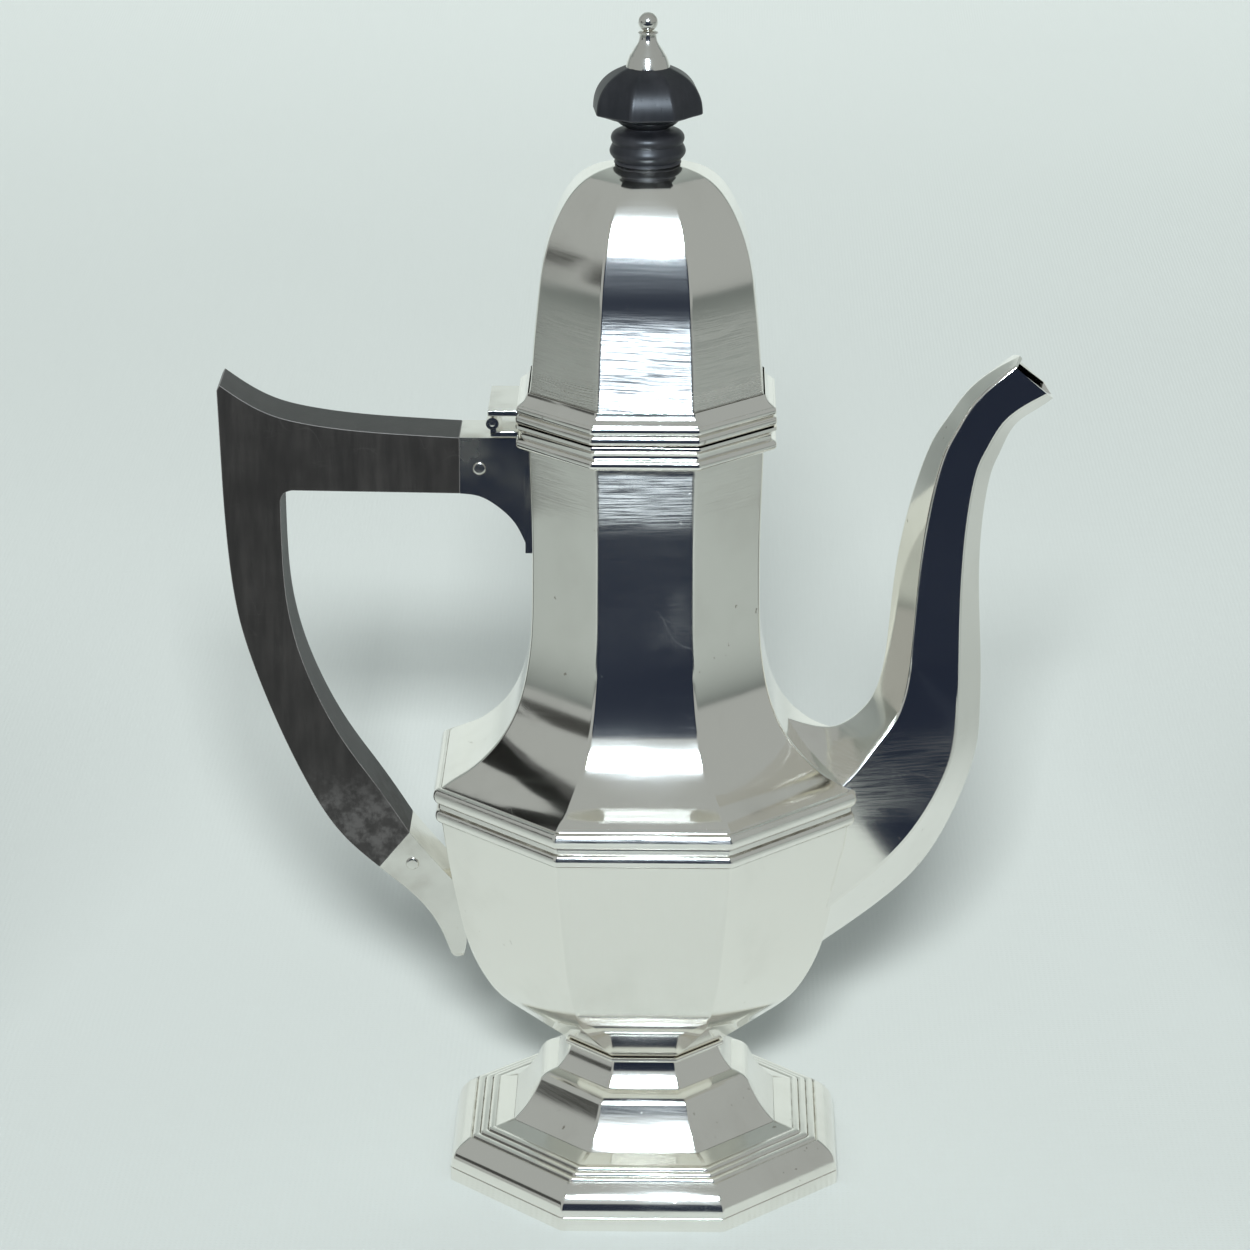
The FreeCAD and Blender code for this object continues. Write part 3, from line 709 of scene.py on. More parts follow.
@dataclass(frozen=True)
class ClothFinish:
    """The pale woven sheet that the pot stands on, darkened by painted shade (its edge colour) towards its sides
    and its front.
    """

    name: str
    tint: Colour
    shade: Colour
    # edge: painted shade, mixed in towards the sheet's sides and front where the light falls off.
    edge: Colour
    threads: float = 260.0

    def material(self) -> Material:
        """The finish as a material."""
        material, graph, shader, place = started(self.name)
        wave = {"Vector": place, "Scale": self.threads, "Distortion": 0.6}
        weave, weft = (graph.add("TexWave", wave, bands_direction=way).outputs["Fac"] for way in "XY")
        threads = graph.times(weave, weft)
        cloud = graph.noise(place, 5.0, 3.0, 0.5)
        cloth = graph.blend(graph.plus(graph.times(threads, 0.10), graph.times(cloud, 0.35)), self.tint, self.shade)
        # Painted shade: the sheet is mixed towards the edge colour at its sides near the front and all along its
        # front. This stands in for the light falling off there and makes the pot's facets reflect it darker.
        painted_shade_aside = graph.span(graph.calc("ABSOLUTE", graph.axis(place, "X")), 0.02, 0.30)
        painted_shade_aside = graph.times(painted_shade_aside, graph.span(graph.axis(place, "Y"), 0.05, 0.45, 1.0, 0.0))
        painted_shade_ahead = graph.span(graph.axis(place, "Y"), -0.30, 0.40, 0.90, 0.0)
        graph.feed(shader.inputs["Base Color"], graph.blend(graph.most(painted_shade_aside, painted_shade_ahead), cloth, self.edge))
        shader.inputs["Roughness"].default_value = 0.85
        shader.inputs["Specular IOR Level"].default_value = 0.25
        graph.relief(shader, threads, 0.25, 0.2 * MM)
        return material


@dataclass(frozen=True)
class Finishes:
    """Every finish on the pot."""

    silver: Material
    plain: Material
    fittings: Material
    steel: Material
    handle: Material
    knob: Material

    @classmethod
    def mixed(cls) -> "Finishes":
        """Makes the materials once."""
        rubbed = ((0.184, 0.0145, 1.0), (0.177, 0.005, 0.5), (0.2055, 0.007, 0.12), (0.161, 0.013, 0.85),
                  (0.018, 0.012, 0.3))
        finishes = {
            "silver": MetalFinish("Brushed silver", (0.93, 0.905, 0.845), rough=0.055, brushed=0.15, bands=rubbed),
            "plain": MetalFinish("Mirror silver", (0.92, 0.895, 0.84), lines=0.0025, rough=0.05, brushed=0.12,
                                 bands=((0.094, 0.012, 0.8),)),
            "fittings": MetalFinish("Cast silver", (0.80, 0.78, 0.73), lines=0.0015, rough=0.13, swell=0.14,
                                    clouds=0.6),
            "steel": MetalFinish("Plain steel", (0.56, 0.55, 0.54), rough=0.30, lines=0.004, swell=0.0),
            "handle": EbonyFinish("Handle ebony", (0.011, 0.0105, 0.010), (0.021, 0.020, 0.019),
                                  (0.17, 0.17, 0.165), dust_top=0.094, shine=0.28),
            "knob": EbonyFinish("Knob ebony", (0.007, 0.008, 0.010), (0.016, 0.017, 0.020), (0.06, 0.06, 0.065),
                                rough=0.40, shine=0.30),
        }
        return cls(**{name: finish.material() for name, finish in finishes.items()})


# Sub-assemblies

@dataclass
class Foot:
    """The octagonal foot: upright rim, stepped mouldings, two-stage stem and waist bead."""

    apothem: float = 42.0
    rim_height: float = 3.1
    rim_depth: float = 2.2
    ovolo: Line = ((41.9, 3.1), (41.5, 5.2), (40.4, 7.2), (38.9, 8.6), (37.3, 9.4))
    reeds: Line = ((37.3, 35.6), (35.6, 33.9), (33.9, 32.2))
    reed_rise: float = 0.55
    under: Line = ((36.2, 8.2), (38.6, 6.8), (40.0, 4.9), (40.7, 3.1))
    stem_foot: Point = (28.3, 12.0)
    lower: Line = ((28.3, 12.0), (25.9, 14.6), (24.0, 17.6), (22.6, 20.6))
    ledge: Line = ((22.6, 20.6), (21.6, 21.6), (20.3, 22.2), (19.0, 22.6))
    upper: Line = ((19.0, 22.6), (17.5, 24.4), (16.5, 26.2), (15.9, 28.0))
    wall: float = 1.0
    waist_bead: Bead = (16.75, 28.0, 29.0, 0.5)
    waist_inner: float = 14.4

    def rim(self, metal: Material) -> None:
        """The upright border that the pot stands on."""
        piece = Workpiece("foot.rim")
        inner = self.apothem - self.rim_depth
        box = [(inner, 0.0), (self.apothem, 0.0), (self.apothem, self.rim_height), (inner, self.rim_height)]
        piece.spun(eased(box, 0.22, closed=True))
        piece.corners(0.5)
        for vert in piece.bm.verts:
            vert.co.z = max(vert.co.z, 0.0)
        piece.finish(metal, "foot_rim")

    def mouldings(self, metal: Material) -> None:
        """Ovolo, three reeds and the shallow top."""
        level = self.ovolo[-1][1]
        runs = [[*self.ovolo[:-1], (self.ovolo[-1][0] + 0.5, level)]]
        for outer, inner in self.reeds:
            groove = [(outer + 0.32, level), (outer + 0.10, level - 0.28)]
            tread = [(outer - 0.22, level + self.reed_rise * 0.8), (outer - 0.9, level + self.reed_rise),
                     (inner, level + self.reed_rise * 0.9)]
            runs += [groove, tread]
            level = tread[-1][1]
        x, z = self.stem_foot
        runs += [[(x, z)], [(x, z - self.wall), *self.under]]
        piece = Workpiece("foot.mouldings").ring(runs, 0.45, 0.14, 0.45)
        piece.finish(metal, "foot")

    def stem(self, metal: Material) -> None:
        """The hollow pedestal in two stages."""
        piece = Workpiece("foot.stem").shell([self.lower, self.ledge, self.upper], 0.5, 0.2, self.wall)
        piece.corners(0.4)
        piece.finish(metal, "stem")

    def waist(self, metal: Material) -> None:
        """The thin bead between stem and bowl."""
        _, low, high, _ = self.waist_bead
        inner = [(self.waist_inner, high), (self.waist_inner, low)]
        piece = Workpiece("foot.waist_bead").ring([bead(*self.waist_bead), inner], 0.12, 0.05, 0.3)
        piece.finish(metal, "waist_bead")

    def build(self, finishes: Finishes) -> None:
        """Makes every piece of the foot."""
        self.rim(finishes.plain)
        self.mouldings(finishes.silver)
        self.stem(finishes.silver)
        self.waist(finishes.plain)


@dataclass
class Vessel:
    """The body: bowl, girdle, shoulder and neck, and the mouth's moulding."""

    girdle: float = 43.0
    belly: Line = ((16.3, 29.0), (21.3, 33.2), (26.9, 38.0), (31.3, 42.2), (34.4, 47.0), (37.2, 53.4),
                              (39.4, 62.0), (41.3, 72.0), (43.0, 83.8))
    joint: float = 88.0
    shoulder: Line = ((43.0, 91.4), (41.0, 92.7), (37.4, 94.6), (34.3, 96.9), (30.8, 100.6), (28.2, 104.8),
                                 (26.5, 109.2), (25.2, 115.0), (24.3, 122.0), (23.95, 131.0), (23.9, 144.0),
                                 (24.2, 156.0), (24.4, 162.5))
    neck: float = 24.4
    mouth: float = 169.5
    wall: float = 1.0
    hole: float = 1.3
    hole_pitch: float = 4.4
    hole_height: float = 72.0
    hole_rows: Sequence[int] = (3, 4, 5, 4, 3)
    low_bead: Bead = (43.4, 83.8, 86.6, 0.9)
    band: Line = ((43.6, 86.8), (43.6, 87.8))
    high_bead: Bead = (43.5, 88.0, 91.4, 1.2)
    lip_bead: Bead = (26.2, 164.4, 166.6, 0.9)
    cove: Line = ((26.0, 167.4), (26.2, 168.1), (27.1, 168.8))
    trim: float = 0.35

    def strainer(self) -> Workpiece:
        """The rows of round holes behind the spout."""
        tool = Workpiece("strainer")
        for row, count in enumerate(self.hole_rows):
            height = self.hole_height + (row - 2) * self.hole_pitch * 0.87
            for column in range(count):
                start = (self.girdle - 8, (column - (count - 1) / 2) * self.hole_pitch, height)
                tool.bar(start, (1, 0, 0), self.hole, 12.0, 24)
        return tool

    def bowl(self, metal: Material) -> None:
        """The hollow lower body with its floor and the pierced strainer."""
        runs = [[(0.0, self.belly[0][1])], self.belly, [(self.girdle, self.joint)]]
        piece = Workpiece("body.bowl").shell(runs, 0.9, 0.3, self.wall)
        piece.cut(self.strainer())
        piece.corners(1.0, 5)
        piece.finish(metal, "bowl")

    def upper(self, metal: Material) -> None:
        """The hollow shoulder and neck."""
        runs = [[(self.girdle, self.joint)], self.shoulder, [(self.neck, self.mouth)]]
        piece = Workpiece("body.neck").shell(runs, 0.9, 0.15, self.wall)
        piece.corners(0.55, 4)
        piece.finish(metal, "upper_body")

    def belt(self, metal: Material, spout: Workpiece) -> None:
        """Two beads with a flat between them, cut where the spout passes."""
        low, high = bead(*self.low_bead), bead(*self.high_bead)
        runs = [[(self.girdle, low[0][1])], low, self.band, high, [(self.girdle, high[-1][1])]]
        piece = Workpiece("body.girdle")
        piece.spun(line_of(runs, 0.3, 0.08, closed=True))
        piece.cut(spout)
        piece.corners(0.6)
        piece.finish(metal, "girdle_moulding")

    def lip(self, metal: Material) -> None:
        """A cove over a fillet and a bead, round the mouth."""
        edge = bead(*self.lip_bead)
        fillet, top = (self.cove[0][0], edge[-1][1] + 0.2), (self.cove[-1][0], self.mouth)
        runs = [edge, [fillet], self.cove, [top], [(self.neck, self.mouth), (self.neck, edge[0][1])]]
        piece = Workpiece("body.mouth_moulding").ring(runs, 0.25, 0.08, 0.4)
        piece.finish(metal, "mouth_moulding")

    def core(self) -> Workpiece:
        """Everything inside the body's outer faces, less a little, for trimming what is soldered on."""
        tool = Workpiece("core")
        sides = [[(x - self.trim, z) for x, z in run] for run in (self.belly, self.shoulder)]
        floor = (0.0, self.belly[0][1])
        runs = [[floor], *sides, [(self.neck - self.trim, self.mouth), (0.0, self.mouth)]]
        tool.spun(line_of(runs, 1.2, 0.05), closed=False)
        return tool

    def build(self, finishes: Finishes, spout: Workpiece) -> None:
        """Makes every piece of the body."""
        self.bowl(finishes.silver)
        self.upper(finishes.silver)
        self.belt(finishes.plain, spout)
        self.lip(finishes.plain)


@dataclass
class Spout:
    """The six-sided swan-neck spout, in two halves that meet along its ridges."""

    stations: Sequence[tuple[Point, Point, Point, Point, float]] = (
        ((77.7, 182.0), (76.4, 180.8), (83.4, 174.8), (85.0, 172.7), 4.6),
        ((72.0, 178.7), (72.9, 177.9), (79.0, 172.5), (81.4, 170.1), 5.3),
        ((66.8, 174.2), (68.1, 173.2), (74.3, 168.7), (77.0, 166.6), 5.9),
        ((62.7, 168.3), (64.5, 167.2), (71.0, 163.1), (74.3, 161.0), 6.4),
        ((59.3, 162.4), (61.8, 161.3), (68.9, 158.0), (72.5, 156.3), 6.8),
        ((55.4, 150.2), (59.1, 149.3), (67.2, 147.4), (71.0, 146.4), 7.4),
        ((52.4, 134.4), (57.3, 133.8), (66.3, 132.7), (70.6, 132.1), 8.1),
        ((50.9, 117.8), (56.0, 117.2), (66.2, 116.1), (71.4, 115.5), 8.9),
        ((49.1, 108.6), (54.0, 107.4), (65.9, 104.1), (71.5, 102.4), 10.5),
        ((46.8, 104.3), (50.5, 102.3), (64.0, 94.2), (69.9, 90.4), 12.6),
        ((43.2, 100.9), (46.3, 97.2), (57.2, 81.8), (62.7, 72.9), 15.2),
        ((37.8, 99.4), (40.6, 91.4), (46.9, 71.2), (51.8, 59.9), 17.2),
        ((28.6, 102.0), (30.5, 86.0), (30.8, 58.5), (31.8, 44.6), 18.6),
    )
    wall: float = 0.9
    rounding: float = 0.55
    between: int = 6

    def sections(self) -> list[list[Vector]]:
        """Six corners for each of many sections, from the mouth down."""
        flat = np.array([[*inner, *upper, *lower, *outer, half]
                         for inner, upper, lower, outer, half in self.stations])
        smooth = self.tracks(flat, (len(flat) - 1) * self.between)
        found = []
        for ax, az, bx, bz, cx, cz, dx, dz, half in smooth:
            front = [(ax, 0.0, az), (bx, half, bz), (cx, half, cz), (dx, 0.0, dz)]
            back = [(cx, -half, cz), (bx, -half, bz)]
            found.append([Vector(corner) * MM for corner in front + back])
        return found

    @staticmethod
    def tracks(flat: np.ndarray, steps: int) -> np.ndarray:
        """The stations' numbers carried smoothly between the stations."""
        columns = []
        for column in flat.T:
            points = [(index * 40.0, value) for index, value in enumerate(column)]
            line = np.array(through(points, 0.5))
            columns.append(np.interp(np.linspace(0, points[-1][0], steps + 1), line[:, 0], line[:, 1]))
        return np.array(columns).T

    def tube(self) -> tuple[Workpiece, dict]:
        """The spout's outer skin as one open tube.

        Returns:
            The tube, and the ring that each of its corners is on.
        """
        piece = Workpiece("spout")
        rings, owner = [], {}
        for index, section in enumerate(self.sections()):
            verts = [piece.bm.verts.new(corner) for corner in section]
            owner.update({self.key(vert): index for vert in verts})
            rings.append([piece.bm.edges.new(pair) for pair in zip(verts, verts[1:] + verts[:1])])
        for first, second in zip(rings, rings[1:]):
            bmesh.ops.bridge_loops(piece.bm, edges=first + second)
        piece.heal()
        return piece, owner

    @staticmethod
    def key(vert: bmesh.types.BMVert) -> tuple[int, ...]:
        """A vertex's place as whole hundredths of a millimetre."""
        return tuple(round(value * 1e5) for value in vert.co)

    def solid(self) -> Workpiece:
        """The spout as a closed block, for cutting the girdle."""
        tool, _ = self.tube()
        bmesh.ops.holes_fill(tool.bm, edges=tool.bm.edges, sides=0)
        tool.heal()
        return tool

    def half(self, name: str, node: str, side: float, metal: Material, core: Workpiece) -> None:
        """One half of the spout.

        Args:
            name: The piece's name.
            node: The node that it stands for.
            side: -1 for the half at the front, 1 for the half at the back.
            metal: Its finish.
            core: The body's core, which trims it.
        """
        piece, owner = self.tube()
        piece.name = name
        piece.walled(self.wall)
        along = []
        for edge in piece.bm.edges:
            ends = [owner.get(self.key(vert), -1) for vert in edge.verts]
            if min(ends) >= 0 and ends[0] != ends[1]:
                along.append(edge)
        piece.bevel(along, self.rounding, 4)
        piece.cut(core)
        for vert in piece.bm.verts:
            if abs(vert.co.y) < 5 * MERGE:
                vert.co.y = 0.0
        piece.sliced((0, 0, 0), (0, -side, 0), keep_all=False)
        bmesh.ops.holes_fill(piece.bm, edges=piece.bm.edges, sides=0)
        piece.heal()
        piece.finish(metal, node)

    def build(self, finishes: Finishes, vessel: Vessel) -> None:
        """Makes both halves."""
        self.half("spout.front_half", "spout_front_half", -1.0, finishes.plain, vessel.core())
        self.half("spout.rear_half", "spout_rear_half", 1.0, finishes.plain, vessel.core())


@dataclass
class Handle:
    """The sawn ebony handle, its two silver sockets, their rivets and the plate behind the upper one."""

    width: float = 13.0
    arm: tuple[float, float, float] = (-39.0, 153.1, 165.3)
    inner_end: Point = (-50.6, 76.8)
    top: Line = ((-39.0, 165.3), (-50.0, 165.9), (-61.8, 166.8), (-71.5, 168.2), (-78.0, 169.9),
                            (-83.6, 172.7), (-88.9, 176.4))
    back: Line = ((-89.5, 175.2), (-89.2, 166.0), (-88.7, 152.0), (-87.8, 138.0), (-85.9, 124.6),
                             (-82.6, 113.0), (-77.9, 100.4), (-71.9, 87.2), (-64.8, 76.0), (-57.2, 68.8))
    inside: Line = ((-50.6, 76.8), (-57.0, 86.8), (-64.1, 97.2), (-69.4, 107.2), (-73.6, 118.4),
                               (-75.8, 129.0), (-76.5, 139.0), (-76.7, 151.2))
    bend: Line = ((-76.7, 151.2), (-76.0, 152.8), (-74.3, 153.5))
    plate_face: float = -25.3
    sweep: Line = ((-35.2, 152.6), (-31.0, 150.2), (-27.7, 146.9), (-25.3, 142.2))
    heel: Line = ((-57.2, 68.8), (-53.4, 65.6), (-49.5, 61.9), (-46.5, 58.0), (-43.8, 52.4), (-42.0, 47.2))
    tip: Line = ((-42.0, 47.2), (-41.0, 46.0), (-39.5, 46.6))
    tail: Line = ((-39.5, 46.6), (-38.7, 51.0), (-38.9, 55.0), (-36.0, 60.0))
    taper: Line = ((46.0, 1.6), (46.6, 2.4), (50.0, 3.4), (58.0, 5.4), (66.0, 6.5))
    upper_rivet: Point = (-34.9, 158.6)
    lower_rivet: Point = (-50.06, 69.66)
    rivet_radius: float = 1.4
    rivet_head: float = 0.35

    def grip(self, wood: Material) -> None:
        """The wooden handle."""
        x, low, high = self.arm
        runs = [self.top, self.back, self.inside, self.bend, [(x, low), (x, high)]]
        piece = Workpiece("handle.grip")
        piece.plate(line_of(runs, 1.2, 0.2, closed=True), self.width / 2)
        piece.soft_edges(0.3, 50.0, 3)
        piece.finish(wood, "handle", slot=Slot.HANDLE)

    def upper(self, metal: Material) -> None:
        """The sleeve for the handle's upper end, swept down to the neck."""
        x, low, high = self.arm
        runs = [[(x, low), *self.sweep], [(self.plate_face, high), (x, high)]]
        piece = Workpiece("handle.upper_socket")
        piece.plate(line_of(runs, 0.8, 0.1, closed=True), self.width / 2)
        piece.soft_edges(0.22, 50.0, 2)
        piece.finish(metal, "upper_socket", slot=Slot.FITTINGS)

    def lower(self, metal: Material, core: Workpiece) -> None:
        """The sleeve for the handle's lower end, with a tail that narrows past the bowl."""
        top = [(-36.0, 60.4), (-42.6, 67.2), self.inner_end]
        half = self.width / 2
        piece = Workpiece("handle.lower_socket")
        piece.plate(line_of([self.heel, self.tip, self.tail, top], 0.8, 0.1, closed=True), half)
        for height in np.arange(46.6, 67.0, 0.6):
            piece.sliced((0, 0, height), (0, 0, 1))
        taper = np.array(through(self.taper, 0.5))
        for vert in piece.bm.verts:
            share = float(np.interp(vert.co.z / MM, taper[:, 0], taper[:, 1])) / half
            vert.co.y *= share
        piece.soft_edges(0.25, 45.0, 2)
        piece.cut(core)
        piece.finish(metal, "lower_socket", slot=Slot.FITTINGS)

    def rivet(self, name: str, node: str, place: Point, metal: Material) -> None:
        """A pin right through the handle, with a low domed head at each end.

        Args:
            name: The piece's name.
            node: The node that it stands for.
            place: Where it goes through, in the side view.
            metal: Its finish.
        """
        reach = self.width / 2
        radius = self.rivet_radius
        dome = [(radius, reach), (radius * 0.92, reach + self.rivet_head * 0.55),
                (radius * 0.6, reach + self.rivet_head * 0.9), (0.0, reach + self.rivet_head)]
        line = through(dome, 0.2)
        piece = Workpiece(name)
        piece.spun([(x, -z) for x, z in reversed(line)] + line, steps=32, closed=False)
        turn = Matrix.Translation((place[0] * MM, 0.0, place[1] * MM)) @ Matrix.Rotation(math.pi / 2, 4, "X")
        bmesh.ops.transform(piece.bm, matrix=turn, verts=piece.bm.verts)
        piece.finish(metal, node, slot=Slot.FITTINGS)

    def build(self, finishes: Finishes, vessel: Vessel) -> None:
        """Makes every piece of the handle."""
        self.grip(finishes.handle)
        self.upper(finishes.fittings)
        self.lower(finishes.fittings, vessel.core())
        self.rivet("handle.upper_rivet", "upper_rivet", self.upper_rivet, finishes.fittings)
        self.rivet("handle.lower_rivet", "lower_rivet", self.lower_rivet, finishes.fittings)


@dataclass
class Lid:
    """The bell-shaped lid and its double moulding."""

    bottom: float = 169.7
    bell: Line = ((24.15, 176.2), (23.75, 181.0), (23.3, 187.0), (22.6, 194.4), (21.6, 202.3), (20.5, 207.2),
                             (18.9, 211.7), (16.7, 216.0), (13.4, 219.8), (9.6, 221.8), (6.6, 222.6))
    wall: float = 0.9
    bolt: float = 1.5
    low_bead: Bead = (26.5, 169.7, 171.7, 0.6)
    high_bead: Bead = (26.4, 171.9, 173.7, 0.55)
    cove: Line = ((26.3, 173.9), (25.4, 174.6), (24.9, 175.5), (24.7, 176.2))

    def dome(self, metal: Material) -> None:
        """The hollow dome with a drilled seat for the knob."""
        top = self.bell[-1][1]
        runs = [[(self.bell[0][0], self.bottom)], self.bell, [(self.bolt, top)]]
        piece = Workpiece("lid.dome").shell(runs, 0.7, 0.15, self.wall)
        piece.corners(0.5, 4)
        piece.finish(metal, "lid_dome", body=Body.LID)

    def moulding(self, metal: Material) -> None:
        """Two beads under a cove."""
        low, high = bead(*self.low_bead), bead(*self.high_bead)
        seam = (self.cove[0][0], (low[-1][1] + high[0][1]) / 2)
        back, base = self.bell[0]
        runs = [low, [seam], high, self.cove, [(back, base), (back, self.bottom)]]
        piece = Workpiece("lid.moulding").ring(runs, 0.22, 0.07, 0.4)
        piece.finish(metal, "lid_moulding", body=Body.LID)

    def build(self, finishes: Finishes) -> None:
        """Makes the dome and its moulding."""
        self.dome(finishes.silver)
        self.moulding(finishes.plain)


@dataclass
class Knob:
    """The ebony knob, an octagonal cap over turned rings, and the silver finial above it."""

    turn: float = 6.0
    top: float = 242.8
    finial_top: float = 254.0
    ball: float = 2.0
    dome: Line = ((10.95, 233.6), (10.8, 235.6), (9.9, 238.3), (8.4, 240.3), (6.4, 241.8), (4.4, 242.8))
    under: Line = ((3.0, 231.6), (6.4, 231.9), (9.0, 232.9), (10.95, 233.6))
    rings: Runs = (((0.0, 232.4),), ((6.9, 232.4), (5.6, 230.9), (4.5, 230.2), (5.6, 229.7)),
                   ((5.6, 229.7), (7.2, 229.0), (7.6, 228.0), (7.2, 226.9)),
                   ((7.2, 226.9), (7.85, 225.2), (6.6, 223.4)),
                   ((6.6, 223.4), (6.95, 222.9), (6.4, 222.6)), ((0.0, 222.6),))
    finial_runs: Runs = (((0.0, 242.8),), ((4.55, 242.8), (4.2, 244.0), (3.75, 245.2)),
                         ((3.55, 245.4), (2.6, 246.9), (1.85, 248.3), (1.7, 249.5)),
                         ((1.7, 249.5), (2.1, 249.8), (1.5, 250.2)))

    def cap(self, wood: Material) -> None:
        """The octagonal cap together with its turned neck and rings."""
        piece = Workpiece("knob.ebony")
        runs = [[(0.0, self.under[0][1])], self.under, self.dome, [(0.0, self.top)]]
        piece.spun(line_of(runs, 0.45, 0.3), closed=False, turn=self.turn)
        piece.corners(0.55, 4)
        rings = Workpiece("rings")
        rings.spun(line_of(self.rings, 0.25, 0.1), steps=72, closed=False)
        piece.bm.from_mesh(rings.mesh())
        piece.finish(wood, "knob", slot=Slot.KNOB, body=Body.LID)

    def finial(self, metal: Material) -> None:
        """The turned silver finial with its ball."""
        centre = self.finial_top - self.ball
        turns = [math.radians(-64.0 + index * 154.0 / 8) for index in range(9)]
        ball = [(max(self.ball * math.cos(turn), 0.0), centre + self.ball * math.sin(turn)) for turn in turns]
        piece = Workpiece("knob.finial")
        piece.spun(line_of([*self.finial_runs, ball], 0.2, 0.06), steps=64, closed=False)
        piece.finish(metal, "finial", slot=Slot.FITTINGS, body=Body.LID)

    def build(self, finishes: Finishes) -> None:
        """Makes the knob and its finial."""
        self.cap(finishes.knob)
        self.finial(finishes.fittings)


@dataclass
class Hinge:
    """The lid's hinge: two leaves with their knuckles, and the pin."""

    x: float = -32.0
    z: float = 169.2
    length: float = 19.0
    middle: float = 7.6
    gap: float = 0.15
    radius: float = 1.35
    clear: float = 0.3
    thickness: float = 1.2
    inner: float = -26.6
    pin_radius: float = 0.6

    def knuckle(self, piece: Workpiece, start: float, end: float) -> None:
        """Adds one knuckle between two places along the pin, in millimetres."""
        barrel = Workpiece("barrel")
        barrel.bar((self.x, start, self.z), (0, 1, 0), self.radius, end - start, 40)
        barrel.soft_edges(0.12, 60.0)
        piece.bm.from_mesh(barrel.mesh())

    def leaf(self, name: str, node: str, low: float, back: float, spans: Line, body: Body,
             metal: Material) -> None:
        """One leaf with its knuckles.

        Args:
            name: The piece's name.
            node: The node that it stands for.
            low: The height of its underside.
            back: How far it reaches past the pin.
            spans: Where each knuckle starts and ends.
            body: The body that it moves with.
            metal: Its finish.
        """
        piece = Workpiece(name)
        half = self.length / 2
        piece.block((self.x - back, -half, low), (self.inner, half, low + self.thickness))
        piece.soft_edges(0.18, 60.0, 3)
        above = low > self.z
        for start, end in spans:
            web = Workpiece("web")
            levels = (self.z + 0.8, low + 0.5) if above else (low + self.thickness - 0.5, self.z - 0.8)
            web.block((self.x - 0.4, start, levels[0]), (self.x + 0.8, end, levels[1]))
            piece.bm.from_mesh(web.mesh())
            self.knuckle(piece, start, end)
        piece.finish(metal, node, slot=Slot.FITTINGS, body=body)

    def build(self, finishes: Finishes) -> None:
        """Makes both leaves and the pin."""
        half, inside = self.length / 2, self.middle / 2
        metal = finishes.fittings
        ends = [(-half, -inside - self.gap), (inside + self.gap, half)]
        off = self.radius + self.clear
        self.leaf("hinge.body_leaf", "body_hinge_leaf", self.z - off - self.thickness, 0.4, ends, Body.POT, metal)
        self.leaf("hinge.lid_leaf", "lid_hinge_leaf", self.z + off, 0.9, [(-inside, inside)], Body.LID, metal)
        pin = Workpiece("hinge.pin")
        pin.bar((self.x, -half - 0.02, self.z), (0, 1, 0), self.pin_radius, self.length + 0.04, 24)
        pin.soft_edges(0.08, 60.0)
        pin.finish(metal, "hinge_pin", slot=Slot.FITTINGS)


@dataclass
class KeptNodes:
    """The frame's own small parts that are shown as they are, with their finishes."""

    steel: Sequence[str] = ("knob_bolt", "knob_nut")
    fittings: Sequence[str] = ("knob_washer", "upper_socket_plate")
    plain: Sequence[str] = ("lid_bezel",)

    def build(self, finishes: Finishes) -> None:
        """Dresses the nodes."""
        for names, metal in ((self.steel, finishes.steel), (self.fittings, finishes.fittings),
                             (self.plain, finishes.plain)):
            for name in names:
                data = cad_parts[name].data
                data.materials.clear()
                data.materials.append(metal)
                LOG.info("%s: dressed", name)


# Studio

